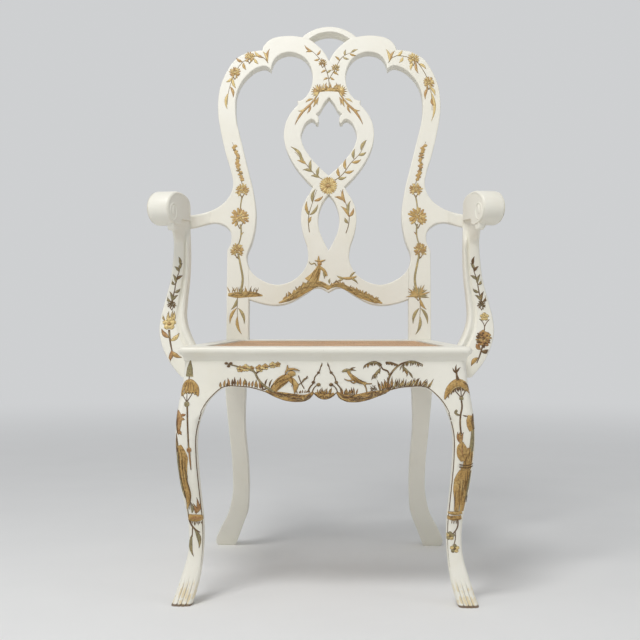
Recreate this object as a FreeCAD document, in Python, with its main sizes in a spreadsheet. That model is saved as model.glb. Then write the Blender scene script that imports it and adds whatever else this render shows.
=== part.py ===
import FreeCAD, Part
import math
import os
import re

# Painted armchair: pierced hooped back, scrolled arms, cabriole front legs and a caned seat.
# Millimetres, +Z up, the sitter faces -Y, origin on the floor under the middle of the chair.
# "left" is the -X side, on the left of someone who stands in front of the chair.
# Depths in the templates are counted backwards from the front edge of the seat frame.

os.makedirs("parts", exist_ok=True)
doc = FreeCAD.newDocument("armchair")

SIZES = {
    "seat_front": (-277.7, "y of the front edge of the seat frame"),
    "seat_height": (450, "top of the seat frame above the floor"),
    "frame_thickness": (25, "seat frame, top to bottom"),
    "frame_half_front": (256, "half width of the seat frame at its front edge"),
    "frame_half_rear": (219, "half width of the seat frame where it meets the posts"),
    "frame_depth": (423, "front edge of the seat frame to the posts"),
    "frame_front_width": (50, "width of the front member of the seat frame"),
    "frame_side_width": (44, "width of the side members of the seat frame"),
    "frame_rear_start": (411, "depth of the front edge of the rear member"),
    "frame_rear_end": (462, "depth of the back edge of the rear member"),
    "rabbet_width": (8, "step round the opening that the cane lies in"),
    "rabbet_depth": (5, "depth of that step"),
    "cane_thickness": (1.5, "woven cane sheet"),
    "spline_width": (5, "reed that holds the cane in the step"),
    "cane_columns": (17, "gaps across the cane panel"),
    "cane_rows": (17, "gaps from front to back of the cane panel"),
    "rail_thickness": (24, "seat rails under the frame"),
    "rail_drop": (46, "height of the side and rear rails"),
    "front_rail_start": (10, "depth of the front face of the front rail"),
    "rear_rail_start": (430, "depth of the front face of the rear rail"),
    "leg_block": (200, "half width between the inner faces of the front leg blocks"),
    "leg_diagonal": (256, "half width plus depth on the front leg's line of symmetry"),
    "post_inner": (167, "half width between the posts"),
    "post_front": (425, "depth of the front of the post at seat height"),
    "post_depth": (38, "post, front to back, at seat height"),
    "back_thickness": (26, "hoops, splat and lower rail, front to back"),
    "back_radius": (4317, "radius of the backward sweep of the back"),
    "back_lean": (4, "degrees that the back leans at seat height"),
    "crest_joint": (905, "height of the joint between post and hoop"),
    "waist_joint": (1006, "height of the joint between hoops and splat"),
    "splat_joint": (625, "height of the joint between splat and lower rail"),
    "wing_end": (250, "half width at the joint between post and arm"),
    "arm_seat": (679, "height of the joint between stump and arm"),
    "scroll_radius": (30.5, "rolled end of the arm"),
    "scroll_height": (697, "height of the middle of the rolled end"),
    "tenon_thickness": (10, "all tenons"),
    "tenon_length": (24, "all tenons"),
    "tenon_height": (36, "tenons of the seat rails"),
    "dowel_radius": (4, "dowels of the back and the seat frame"),
    "arm_dowel_radius": (5, "dowels of the arms"),
    "dowel_length": (40, "all dowels"),
    "block_height": (30, "corner blocks"),
    "screw_radius": (2, "wood screws, shank"),
    "screw_head_radius": (4, "wood screws, head"),
    "screw_head_height": (2.4, "wood screws, head"),
}

sheet = doc.addObject("Spreadsheet::Sheet", "Dims")
for row, (alias, (value, note)) in enumerate(SIZES.items(), start=1):
    sheet.set(f"A{row}", note)
    sheet.set(f"B{row}", str(value))
    sheet.setAlias(f"B{row}", alias)
doc.recompute()


def size(alias):
    """A driving dimension, read from the sheet."""
    return float(getattr(sheet, alias))


def bind(thing, **cells):
    """Bind properties to the sheet; a double underscore in a name stands for a dot."""
    for name, formula in cells.items():
        text = re.sub(r"[a-z]+(_[a-z]+)+", r"Dims.\g<0>", str(formula))
        thing.setExpression(name.replace("__", "."), text)
    return thing


SEAT_FRONT = size("seat_front")
SEAT = size("seat_height")
UNDER_FRAME = SEAT - size("frame_thickness")

# Templates

UPRIGHT = FreeCAD.Rotation(FreeCAD.Vector(1, 0, 0), 90)
SIDEWAYS = FreeCAD.Rotation(FreeCAD.Vector(0, 1, 0), FreeCAD.Vector(0, 0, 1), FreeCAD.Vector(1, 0, 0))
FRONT_VIEW = FreeCAD.Placement(FreeCAD.Vector(0, 0, 0), UPRIGHT)
SIDE_VIEW = FreeCAD.Placement(FreeCAD.Vector(0, SEAT_FRONT, 0), SIDEWAYS)
PLAN_VIEW = FreeCAD.Placement(FreeCAD.Vector(0, SEAT_FRONT, 0), FreeCAD.Rotation())
SIDEWARD = FreeCAD.Vector(1, 0, 0)
FORWARD = FreeCAD.Vector(0, 1, 0)
UPWARD = FreeCAD.Vector(0, 0, 1)
STOCK = 700
LONG_STOCK = 3 * STOCK


def curve(points):
    """A line through two points, or a smooth curve through more."""
    vectors = [FreeCAD.Vector(a, b, 0) for a, b in points]
    if len(vectors) == 2:
        return Part.LineSegment(*vectors)
    spline = Part.BSplineCurve()
    spline.interpolate(vectors)
    return spline


def closed(points):
    """The sides of a polygon as runs of two points."""
    return [[a, b] for a, b in zip(points, points[1:] + points[:1])]


def flipped(runs):
    """The same runs on the other side of the middle."""
    return [[(-a, b) for a, b in run] for run in runs]


def across(half):
    """One run over both sides, from a half that starts on the middle line."""
    return [(-a, b) for a, b in reversed(half[1:])] + half


def template(name, view, runs):
    """A sketch of a closed outline."""
    sketch = doc.addObject("Sketcher::SketchObject", name)
    sketch.Placement = view
    for run in runs:
        sketch.addGeometry(curve(run))
    return sketch


def sawn(name, sketch, direction, length):
    """A template cut out of stock that lies evenly on both sides of its plane."""
    stock = doc.addObject("Part::Extrusion", name)
    stock.Base = sketch
    stock.DirMode = "Custom"
    stock.Dir = direction
    stock.Solid = True
    stock.Symmetric = True
    stock.LengthFwd = length
    return stock


def common(name, first, second):
    both = doc.addObject("Part::Common", name)
    both.Base = first
    both.Tool = second
    return both


def cut(name, base, tools):
    """Take several tools out of a piece."""
    cutter = tools[0]
    if len(tools) > 1:
        cutter = doc.addObject("Part::Compound", name + "_cutters")
        cutter.Links = tools
    piece = doc.addObject("Part::Cut", name)
    piece.Base = base
    piece.Tool = cutter
    return piece


def fuse(name, shapes):
    piece = doc.addObject("Part::MultiFuse", name)
    piece.Shapes = shapes
    return piece


def group(name, solids):
    """Like pieces that share one node, each still a solid of its own."""
    bunch = doc.addObject("Part::Compound", name)
    bunch.Links = solids
    return bunch


def mirror(name, source):
    """The right hand piece of a pair."""
    twin = doc.addObject("Part::Mirroring", name)
    twin.Source = source
    twin.Normal = FreeCAD.Vector(1, 0, 0)
    return twin


def box(name, x, y, z, length, width, height):
    """A box from its low corner and its sizes, each a formula of the sheet."""
    piece = doc.addObject("Part::Box", name)
    bind(piece, Length=length, Width=width, Height=height)
    return bind(piece, Placement__Base__x=x, Placement__Base__y=y, Placement__Base__z=z)


AXES = {
    "x": FreeCAD.Rotation(FreeCAD.Vector(0, 1, 0), 90),
    "-x": FreeCAD.Rotation(FreeCAD.Vector(0, 1, 0), -90),
    "y": FreeCAD.Rotation(FreeCAD.Vector(1, 0, 0), -90),
    "-y": FreeCAD.Rotation(FreeCAD.Vector(1, 0, 0), 90),
    "z": FreeCAD.Rotation(),
}


def dowel(name, middle, axis, radius="dowel_radius", length="dowel_length"):
    """A round peg, placed by its middle."""
    peg = doc.addObject("Part::Cylinder", name)
    bind(peg, Radius=radius, Height=length)
    reach = AXES[axis].multVec(FreeCAD.Vector(0, 0, peg_length(length) / 2))
    peg.Placement = FreeCAD.Placement(FreeCAD.Vector(*middle) - reach, AXES[axis])
    return peg


def peg_length(length):
    return size(length) if isinstance(length, str) else length


def screw(name, head, axis, length):
    """A countersunk wood screw, placed by the middle of its head's flat face."""
    cone = doc.addObject("Part::Cone", name + "_head")
    bind(cone, Radius1="screw_head_radius", Radius2="screw_radius", Height="screw_head_height")
    shank = doc.addObject("Part::Cylinder", name + "_shank")
    bind(shank, Radius="screw_radius", Height=length)
    place = FreeCAD.Placement(FreeCAD.Vector(*head), AXES[axis])
    cone.Placement = place
    shank.Placement = place
    return fuse(name, [cone, shank])


def y_at(depth):
    return SEAT_FRONT + depth


def body_pad(body, role, runs, length, offset=0.0, reverse=False):
    """Pad an outline from one of the body's own planes."""
    pad = body.newObject("PartDesign::Pad", body.Name + "_pad")
    return body_profile(body, pad, role, runs, length, offset, reverse)


def body_pocket(body, role, runs, length, offset=0.0, reverse=False):
    """Pocket an outline into the body from one of its own planes."""
    pocket = body.newObject("PartDesign::Pocket", body.Name + "_pocket")
    return body_profile(body, pocket, role, runs, length, offset, reverse)


def body_profile(body, feature, role, runs, length, offset, reverse):
    sketch = body.newObject("Sketcher::SketchObject", feature.Name + "_outline")
    plane = next(item for item in body.Origin.OriginFeatures if item.Role == role)
    sketch.AttachmentSupport = (plane, [""])
    sketch.MapMode = "FlatFace"
    sketch.AttachmentOffset = FreeCAD.Placement(FreeCAD.Vector(0, 0, offset), FreeCAD.Rotation())
    for run in runs:
        sketch.addGeometry(curve(run))
    feature.Profile = sketch
    feature.Reversed = reverse
    bind(feature, Length=length)
    return feature


def new_body(label):
    return doc.addObject("PartDesign::Body", label)


# The sweep of the back

LEAN = math.radians(size("back_lean"))
SWEEP = size("back_radius")
SWEEP_DEPTH = size("post_front") + SWEEP * math.cos(LEAN)
SWEEP_HEIGHT = SEAT - SWEEP * math.sin(LEAN)


def back_depth(height, behind=0.0):
    """Depth of the front of the back at a height, or of a surface behind it."""
    return SWEEP_DEPTH - math.sqrt((SWEEP - behind) ** 2 - (height - SWEEP_HEIGHT) ** 2)


def swept(low, high, behind=0.0):
    """Three points on that arc, which a smooth run passes through."""
    heights = [low, (low + high) / 2, high]
    return [(back_depth(height, behind), height) for height in heights]


def back_slab():
    """The curved board that the hoops, the splat and the lower rail are sawn from."""
    low, high = 500, 1140
    front = swept(low, high)
    rear = swept(low, high, size("back_thickness"))
    runs = [front, [front[-1], rear[-1]], rear, [rear[0], front[0]]]
    return sawn("back_slab", template("back_slab_side", SIDE_VIEW, runs), SIDEWARD, STOCK)


SLAB = back_slab()
BACK_MIDDLE = size("back_thickness") / 2


def middle_of_back(x, height):
    """A point half way through the back, for its dowels."""
    return x, y_at(back_depth(height) + BACK_MIDDLE), height


def from_back(name, runs):
    """A piece of the back: its front template sawn out of the curved board."""
    front = sawn(name + "_stock", template(name + "_front", FRONT_VIEW, runs), FORWARD, LONG_STOCK)
    return common(name + "_blank", front, SLAB)


# Joints that two pieces share

TENON = size("tenon_thickness")
MIDDLE_RAIL = size("front_rail_start") + size("rail_thickness") / 2
SIDE_TENON_FRONT = 229
SIDE_TENON_REAR = 197
RAIL_TENON_LOW = 380
LOWER_TENON_LOW = 548
SIDE_EAR_SETBACK = 4

crest_pegs = [dowel(f"crest_peg_{side}_{i}", middle_of_back(sign * half, size("crest_joint")), "z")
              for side, sign in (("left", -1), ("right", 1)) for i, half in enumerate((206, 222))]
waist_pegs = [dowel(f"waist_peg_{i}", middle_of_back(x, size("waist_joint")), "z", length=34)
              for i, x in enumerate((-23, 23))]
middle_pegs = [dowel(f"middle_peg_{i}", middle_of_back(0, height), "x", length=26)
               for i, height in enumerate((1017, 1031))]
splat_pegs = [dowel(f"splat_peg_{i}", middle_of_back(x, size("splat_joint")), "z")
              for i, x in enumerate((-24, 24))]
arm_pegs = [dowel(f"arm_peg_{side}", (sign * size("wing_end"), y_at(464), 707), "x", "arm_dowel_radius")
            for side, sign in (("left", -1), ("right", 1))]
stump_pegs = [dowel(f"stump_peg_{side}", (sign * 268, y_at(146), size("arm_seat")), "z", "arm_dowel_radius")
              for side, sign in (("left", -1), ("right", 1))]


def tenon_box(name, x, depth, z, length, width, height):
    return box(name, x, f"seat_front + {depth}", z, length, width, height)


lower_tenons = [tenon_box(f"lower_tenon_{i}", x, back_depth(LOWER_TENON_LOW) + 8, LOWER_TENON_LOW,
                          "tenon_length", "tenon_thickness", "tenon_height")
                for i, x in enumerate(("post_inner", "-post_inner - tenon_length"))]

# The back


def post_left():
    """Rear leg and stile in one length, with the short wing that the arm is pegged to."""
    wing = size("wing_end")
    joint = size("crest_joint")
    inner = size("post_inner")
    outer_stile = [(232.7, joint), (217.2, 838), (206.6, 803.6), (202.2, 777.8), (205.7, 760.7),
                   (216.1, 743.6), (235, 728), (wing, 720.5)]
    under_wing = [(wing, 694), (236, 694.8), (224, 692.5), (213, 685.5), (206.2, 675.7), (204.2, 663),
                  (213, 638)]
    outer_leg = [(213.5, SEAT), (215.8, 345), (209.6, 260), (203.6, 182), (205, 120), (217, 74),
                 (236.5, 36), (247, 0)]
    inner_leg = [(204, 0), (187, 45), (176, 74), (170.6, 120), (170.4, 182), (176, 270),
                 (173, 350), (inner, 430)]
    inner_stile = [(inner, 600), (172, 620), (160.4, 658.8), (154.1, 692.6), (153.5, 720),
                   (157.6, 752), (173.8, 820.8), (195.2, joint)]
    runs = [outer_stile, [outer_stile[-1], under_wing[0]], under_wing, [under_wing[-1], outer_leg[0]],
            outer_leg, [outer_leg[-1], inner_leg[0]], inner_leg, [inner_leg[-1], inner_stile[0]],
            inner_stile, [inner_stile[-1], outer_stile[0]]]
    outline = template("post_front", FRONT_VIEW, flipped(runs))
    thick = size("back_thickness")
    front_leg = [(529, 0), (505, 40), (478, 100), (455, 180), (436, 280), (424.4, 380),
                 (423.2, 420), (size("post_front"), SEAT)]
    rear_leg = [(567, 0), (545, 40), (515, 100), (491, 180), (472, 280), (461, 380), (461, 420),
                (size("post_front") + size("post_depth"), SEAT)]
    front = swept(SEAT, joint)
    rear = [rear_leg[-1], (back_depth(680) + 31, 680), (back_depth(joint) + thick, joint)]
    side = template("post_side", SIDE_VIEW, [front_leg, front, [front[-1], rear[-1]], rear, rear_leg,
                                             [rear_leg[0], front_leg[0]]])
    blank = common("post_blank", sawn("post_stock", outline, FORWARD, LONG_STOCK),
                   sawn("post_slab", side, SIDEWARD, STOCK))
    side_mortise = tenon_box("post_side_mortise", f"-{SIDE_TENON_REAR} - tenon_thickness / 2", 415,
                             RAIL_TENON_LOW, "tenon_thickness", "tenon_length + 8", "tenon_height")
    rear_mortise = tenon_box("post_rear_mortise", "-post_inner - tenon_length", "rear_rail_start + 8",
                             RAIL_TENON_LOW, "tenon_length", "tenon_thickness", "tenon_height")
    return cut("rear_post_left", blank, [side_mortise, rear_mortise, lower_tenons[1],
                                         crest_pegs[0], crest_pegs[1], arm_pegs[0]])


def hoop_left():
    """Left half of the crest: shoulder and hoop, down to the waist of the splat."""
    joint = size("crest_joint")
    waist = size("waist_joint")
    shoulder = [(232.7, joint), (236.8, 934), (237.2, 955), (233.6, 987), (220.4, 1022.5),
                (202.9, 1049.4), (180, 1064.5), (155, 1070.3), (144.9, 1070.8)]
    over = [(144.9, 1070.8), (142, 1079), (127.2, 1094.6), (105, 1100.8), (86.5, 1102), (66, 1100),
            (44, 1094.6), (29.9, 1085.5), (11.9, 1067.4), (0, 1046)]
    under = [(35.4, waist), (35.4, 1014.7), (40.4, 1035.3), (51.8, 1054), (66.8, 1064.5),
             (83.2, 1068.8), (97.4, 1067), (111, 1059.3), (121.2, 1042), (124.6, 1027)]
    inside = [(124.6, 1027), (137.9, 1035.3), (153.2, 1032), (176.8, 1013.6), (189.4, 995.8),
              (198, 970), (199.4, 942.7), (195.2, joint)]
    runs = [shoulder, over, [(0, 1046), (0, waist)], [(0, waist), (35.4, waist)], under, inside,
            [(195.2, joint), (232.7, joint)]]
    blank = from_back("hoop", flipped(runs))
    return cut("crest_hoop_left", blank, crest_pegs[:2] + [waist_pegs[0]] + middle_pegs)


def crest_arch(hoops):
    """Small bow that stands on the two hoops over the notch between them."""
    outer = [(0, 1124.2), (27.6, 1121.4), (46.8, 1112.8), (58.2, 1103.7), (70, 1090)]
    inner = [(0, 1113.9), (15, 1110), (25.4, 1104.7), (40.5, 1095), (50, 1086)]
    ends = [[(50, 1086), (70, 1090)], [(-50, 1086), (-70, 1090)]]
    return cut("crest_arch", from_back("arch", [across(outer), across(inner)] + ends), hoops)


def back_splat():
    """Pierced splat: a heart with two curls, a narrow neck and a long oval."""
    waist = size("waist_joint")
    joint = size("splat_joint")
    spur = [(35.4, waist), (36.2, 997.8), (42.7, 978), (49.6, 967.2), (59.8, 959.4), (67.6, 958.8)]
    heart = [(65.9, 950), (80, 934), (90, 916.4), (95.9, 888), (93.4, 864), (79.6, 829.4),
             (55.4, 795), (33, 772)]
    lower = [(33, 772), (39, 760.7), (49.4, 743.6), (56, 726.6), (58.4, 705), (54.8, 675.7),
             (44.7, 642), (42.7, joint)]
    half = [spur, [spur[-1], heart[0]], heart, lower]
    opening = [[(0, 965.8), (11, 951.5), (20.4, 935), (27.4, 929)],
               [(27.4, 929), (22.5, 922), (21.5, 914), (24.5, 908.7)],
               [(24.5, 908.7), (30, 916.5), (38, 918.5), (47.5, 911.5), (55, 898), (59.4, 881),
                (55.8, 864), (34, 829.4), (17.8, 812), (0, 796)]]
    oval = [[(0, 755.4), (9.8, 743.6), (17.7, 726.6), (22.4, 701), (18.6, 675.7), (11.5, 658.8),
             (0, 636.6)]]
    straight = [[(-35.4, waist), (35.4, waist)], [(-42.7, joint), (42.7, joint)]]
    runs = straight
    for part in (half, opening, oval):
        runs = runs + part + flipped(part)
    return cut("back_splat", from_back("splat", runs), waist_pegs + splat_pegs)


def lower_back_rail():
    """Rail under the splat, tenoned between the posts."""
    inner = size("post_inner")
    joint = size("splat_joint")
    top = [(inner, 600), (160.8, 591), (152.8, 583), (140, 574.7), (108.7, 565), (74, 574.7),
           (62.6, 583), (49.2, 600), (43.3, 616.6), (42.7, joint)]
    under = [(inner, 534.5), (142.8, 526.6), (113.8, 521.8), (87, 525.3), (65.3, 535.4), (45, 548),
             (29.2, 558), (16.8, 558), (6.6, 553), (0, 549)]
    half = [top, under, [(inner, 534.5), (inner, 600)]]
    runs = half + flipped(half) + [[(-42.7, joint), (42.7, joint)]]
    rail = fuse("lower_rail_tenoned", [from_back("lower_rail", runs)] + lower_tenons)
    return cut("lower_back_rail", rail, splat_pegs)


# Arms and their stumps

SCROLL_FRONT = (-282.5, 60)
SCROLL_TURN = 15.6


def arm_left():
    """Arm that leaves the wing sideways, bends forward and ends in a roll turned a little outwards."""
    wing = size("wing_end")
    inner = [(wing, 450), (272, 446), (286, 433), (292, 408), (290, 350), (281, 280), (266, 210),
             (254, 162)]
    outer = [(wing, 481), (284, 476), (309, 460), (320, 428), (320, 390), (316, 330), (306, 270),
             (296, 215), (292, 174)]
    inner_end = (288, 40)
    outer_end = (327, 52)
    runs = [inner, [inner[-1], inner_end], [inner_end, outer_end], [outer_end, outer[-1]], outer,
            [outer[0], inner[0]]]
    plan = sawn("arm_plan_stock", template("arm_plan", PLAN_VIEW, flipped(runs)), UPWARD, LONG_STOCK)
    turn = FreeCAD.Rotation(UPWARD, -SCROLL_TURN)
    corner = FreeCAD.Vector(SCROLL_FRONT[0], y_at(SCROLL_FRONT[1]), 0)
    view = FreeCAD.Placement(corner, turn.multiply(SIDEWAYS))
    side = doc.addObject("Sketcher::SketchObject", "arm_side")
    side.Placement = view
    radius = size("scroll_radius")
    centre = size("scroll_height")
    seat = size("arm_seat")
    sweep_end = math.radians(-70)
    lip = (radius + radius * math.cos(sweep_end), centre + radius * math.sin(sweep_end))
    roll = Part.Arc(FreeCAD.Vector(radius, centre + radius, 0), FreeCAD.Vector(0, centre, 0),
                    FreeCAD.Vector(lip[0], lip[1], 0))
    side.addGeometry(roll)
    top = [(radius, centre + radius), (60, 721), (95, 710), (130, 705), (220, 704.5), (320, 706.5),
           (352, 709), (384, 719.5), (425, 721)]
    under = [(46, seat), (116, seat)]
    rise = [(116, seat), (220, 679.5), (320, 680.5), (352, 682.5), (384, 693), (425, 694.5)]
    for run in (top, [top[-1], rise[-1]], rise, under, [lip, under[0]]):
        side.addGeometry(curve(run))
    across_arm = turn.multVec(SIDEWARD)
    blank = common("arm_blank", plan, sawn("arm_side_stock", side, across_arm, STOCK))
    return cut("arm_left", blank, [arm_pegs[0], stump_pegs[0]])


def stump_left(neighbours):
    """S-curved arm support that laps the outside of the seat frame and the side rail."""
    seat = size("arm_seat")
    outer = [(281.5, seat), (281, 643), (284, 606), (289.5, 569), (299.5, 532), (308.4, 495),
             (309.6, 473), (304.7, 450), (290, 419), (266, 390)]
    inner = [(252, seat), (252.3, 643), (253.3, 606), (256, 569), (260.5, 532), (261.7, 495),
             (256, 473), (246, 452)]
    low = (228, outer[-1][1])
    high = (228, inner[-1][1])
    runs = [outer, [outer[-1], low], [low, high], [high, inner[-1]], inner, [inner[0], outer[0]]]
    front = [(128, seat), (133, 640), (144, 570), (146, 520), (134, 455), (118, 390)]
    rear = [(164, seat), (168, 640), (180, 570), (184, 520), (176, 455), (160, 390)]
    side = [front, [front[-1], rear[-1]], rear, [rear[0], front[0]]]
    stock = sawn("stump_stock", template("stump_front", FRONT_VIEW, flipped(runs)), FORWARD, LONG_STOCK)
    slab = sawn("stump_slab", template("stump_side", SIDE_VIEW, side), SIDEWARD, STOCK)
    blank = common("stump_blank", stock, slab)
    return cut("arm_stump_left", blank, neighbours + [stump_pegs[0]])


# Front legs and seat rails

ROUNDED_SHARE = 0.28
LEG_SECTIONS = [
    # height, outer and inner half width
    (UNDER_FRAME, 246, 200), (385, 250, 200), (351, 256, 207), (317, 260, 219), (287, 261, 222.6),
    (240, 257, 221), (195, 250.6, 217.6), (150, 241.9, 213.5), (115, 239.4, 212.6), (80, 242.5, 214.5),
    (45, 252.5, 219), (20, 260.5, 225), (0, 267.6, 231.6),
]


def leg_section(height, outer, inner):
    """A rounded square on the leg's diagonal line of symmetry."""
    diagonal = size("leg_diagonal")
    low_x, high_x = -outer, -inner
    low_y, high_y = diagonal - outer, diagonal - inner
    round_off = (outer - inner) * ROUNDED_SHARE
    view = FreeCAD.Placement(FreeCAD.Vector(0, SEAT_FRONT, height), FreeCAD.Rotation())
    sketch = doc.addObject("Sketcher::SketchObject", "leg_section")
    sketch.Placement = view
    corners = [(low_x, low_y, 180), (high_x, low_y, 270), (high_x, high_y, 0), (low_x, high_y, 90)]
    ends = []
    for x, y, start in corners:
        centre_x = x + round_off if x == low_x else x - round_off
        centre_y = y + round_off if y == low_y else y - round_off
        points = []
        for angle in (start, start + 45, start + 90):
            turn = math.radians(angle)
            across_by, along_by = round_off * math.cos(turn), round_off * math.sin(turn)
            points.append(FreeCAD.Vector(centre_x + across_by, centre_y + along_by, 0))
        sketch.addGeometry(Part.Arc(*points))
        ends.append((points[0], points[-1]))
    for (_, leave), (arrive, _) in zip(ends, ends[1:] + ends[:1]):
        sketch.addGeometry(Part.LineSegment(leave, arrive))
    return sketch


def front_leg_left(rails):
    """Cabriole leg: block that the rails are let into, knee, slender ankle and a foot that turns out."""
    loft = doc.addObject("Part::Loft", "front_leg_blank")
    loft.Sections = [leg_section(*row) for row in LEG_SECTIONS]
    loft.Solid = True
    return cut("front_leg_left", loft, rails)


def knee_brackets_left(leg):
    """The two ears that carry the rails' lower edges down into the leg."""
    diagonal = size("leg_diagonal")
    ear = [(175, 379), (193.5, 365.4), (205.8, 351), (214.4, 334.7)]
    low, high = (226, ear[-1][1]), (226, ear[0][1])
    runs = [ear, [ear[-1], low], [low, high], [high, ear[0]]]
    thick = size("rail_thickness")
    front_view = FreeCAD.Placement(FreeCAD.Vector(0, y_at(MIDDLE_RAIL), 0), UPRIGHT)
    front = template("front_ear", front_view, flipped(runs))
    side_runs = [[(diagonal - half, height) for half, height in run] for run in runs]
    side_plane = FreeCAD.Vector(SIDE_EAR_SETBACK + MIDDLE_RAIL - diagonal, SEAT_FRONT, 0)
    side_view = FreeCAD.Placement(side_plane, SIDEWAYS)
    side = template("side_ear", side_view, side_runs)
    blanks = [sawn("front_ear_stock", front, FORWARD, thick), sawn("side_ear_stock", side, SIDEWARD, thick)]
    for blank in blanks:
        bind(blank, LengthFwd="rail_thickness")
    return [cut(label, blank, [leg])
            for label, blank in zip(("knee_bracket_front_left", "knee_bracket_side_left"), blanks)]


def front_rail():
    """Shaped apron between the front legs, with two lobes and a centre drop."""
    block = size("leg_block")
    half = [[(0, 358.5), (12, 361), (20, 368.6)],
            [(20, 368.6), (25, 359.5), (33, 355.5), (47, 354.3), (68.7, 357.5), (89, 364.5), (107, 371),
             (130, 377.5), (150, 379.5), (175, 379)],
            [(175, 379), (block, 379)], [(block, 379), (block, UNDER_FRAME)]]
    drop = across(half[0])
    runs = [drop] + half[1:] + flipped(half[1:]) + [[(-block, UNDER_FRAME), (block, UNDER_FRAME)]]
    body = new_body("front_rail")
    start = -y_at(size("front_rail_start"))
    body_pad(body, "XZ_Plane", runs, "rail_thickness", start, True)
    tenons = []
    for sign in (-1, 1):
        near, far = sign * block, sign * (block + size("tenon_length"))
        top = RAIL_TENON_LOW + size("tenon_height")
        tenons += closed([(near, RAIL_TENON_LOW), (far, RAIL_TENON_LOW), (far, top), (near, top)])
    body_pad(body, "XZ_Plane", tenons, "tenon_thickness", -y_at(MIDDLE_RAIL - TENON / 2), True)
    return body


def rear_rail():
    """Plain rail between the rear posts."""
    inner = size("post_inner")
    low = UNDER_FRAME - size("rail_drop")
    body = new_body("rear_rail")
    outline = closed([(-inner, low), (inner, low), (inner, UNDER_FRAME), (-inner, UNDER_FRAME)])
    body_pad(body, "XZ_Plane", outline, "rail_thickness", -y_at(size("rear_rail_start")), True)
    tenons = []
    top = RAIL_TENON_LOW + size("tenon_height")
    for sign in (-1, 1):
        near, far = sign * inner, sign * (inner + size("tenon_length"))
        tenons += closed([(near, RAIL_TENON_LOW), (far, RAIL_TENON_LOW), (far, top), (near, top)])
    body_pad(body, "XZ_Plane", tenons, "tenon_thickness", -y_at(size("rear_rail_start") + 8), True)
    return body


SIDE_FRONT = 56
SIDE_REAR = 422.5
SIDE_OUT_FRONT = 241
SIDE_OUT_REAR = 209
SIDE_DIP = 12


def side_rail_left():
    """Splayed rail from the front leg to the post, with a shallow dip in its lower edge."""
    thick = size("rail_thickness")
    low = UNDER_FRAME - size("rail_drop")
    plan = [(-SIDE_OUT_FRONT, y_at(SIDE_FRONT)), (-SIDE_OUT_FRONT + thick, y_at(SIDE_FRONT)),
            (-SIDE_OUT_REAR + thick, y_at(SIDE_REAR)), (-SIDE_OUT_REAR, y_at(SIDE_REAR))]
    body = new_body("side_rail_left")
    body_pad(body, "XY_Plane", closed(plan), f"rail_drop + {SIDE_DIP}", low - SIDE_DIP)
    tenons = []
    for half, near, reach in ((SIDE_TENON_FRONT, SIDE_FRONT, -1), (SIDE_TENON_REAR, SIDE_REAR, 1)):
        far = near + reach * size("tenon_length")
        tenons += closed([(-half - TENON / 2, y_at(near)), (-half + TENON / 2, y_at(near)),
                          (-half + TENON / 2, y_at(far)), (-half - TENON / 2, y_at(far))])
    body_pad(body, "XY_Plane", tenons, "tenon_height", RAIL_TENON_LOW)
    half_dip = low - SIDE_DIP / 2
    edge = [(SIDE_FRONT - 2, low), (110, low), (170, half_dip), (239, low - SIDE_DIP), (308, half_dip),
            (368, low), (SIDE_REAR + 2, low)]
    deep = low - 2 * SIDE_DIP
    waste = [[(y_at(depth), height) for depth, height in run]
             for run in (edge, [edge[-1], (edge[-1][0], deep)], [(edge[-1][0], deep), (edge[0][0], deep)],
                         [(edge[0][0], deep), edge[0]])]
    body_pocket(body, "YZ_Plane", waste, 2 * STOCK, STOCK)
    return body


# Seat frame and cane


def frame_edge(depth, inset=0.0):
    """Half width of the seat frame at a depth, less an inset."""
    front, rear = size("frame_half_front"), size("frame_half_rear")
    return front + (rear - front) * depth / size("frame_depth") - inset


FRONT_WIDTH = size("frame_front_width")
SIDE_WIDTH = size("frame_side_width")
REAR_START = size("frame_rear_start")
REAR_END = size("frame_rear_end")
DEEP = size("frame_depth")
RABBET = size("rabbet_width")


def opening(grow):
    """Corners of the seat opening, grown on every side."""
    near, far = FRONT_WIDTH - grow, REAR_START + grow
    near_half = frame_edge(near, SIDE_WIDTH - grow)
    far_half = frame_edge(far, SIDE_WIDTH - grow)
    corners = [(-near_half, near), (near_half, near), (far_half, far), (-far_half, far)]
    return [(x, y_at(depth)) for x, depth in corners]


def frame_member(label, corners, holes):
    """One member of the seat frame, with its share of the step for the cane."""
    body = new_body(label)
    points = [(x, y_at(depth)) for x, depth in corners]
    body_pad(body, "XY_Plane", closed(points), "frame_thickness", UNDER_FRAME)
    body_pocket(body, "XY_Plane", closed(opening(RABBET)), "rabbet_depth", SEAT)
    return cut(label + "_member", body, holes)


def seat_frame(pegs):
    """Front, side and rear members; the sides are pegged into the other two."""
    half = frame_edge(FRONT_WIDTH)
    inner = frame_edge(FRONT_WIDTH, SIDE_WIDTH)
    inner_rear = frame_edge(DEEP, SIDE_WIDTH)
    rear_half = frame_edge(REAR_START, SIDE_WIDTH)
    post = size("post_inner") - 0.5
    wide = size("frame_half_front")
    front = frame_member("seat_front", [(-wide, 0), (wide, 0), (half, FRONT_WIDTH),
                                        (-half, FRONT_WIDTH)], pegs)
    left = frame_member("seat_left", [(-half, FRONT_WIDTH), (-inner, FRONT_WIDTH), (-inner_rear, DEEP),
                                      (-frame_edge(DEEP), DEEP)], pegs)
    rear = frame_member("seat_rear", [(-rear_half, REAR_START), (rear_half, REAR_START), (inner_rear, DEEP),
                                      (post, DEEP), (post, REAR_END), (-post, REAR_END), (-post, DEEP),
                                      (-inner_rear, DEEP)], pegs)
    return front, left, rear


def polygon_wire(points, height):
    corners = [FreeCAD.Vector(x, y, height) for x, y in points]
    return Part.makePolygon(corners + corners[:1])


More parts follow.
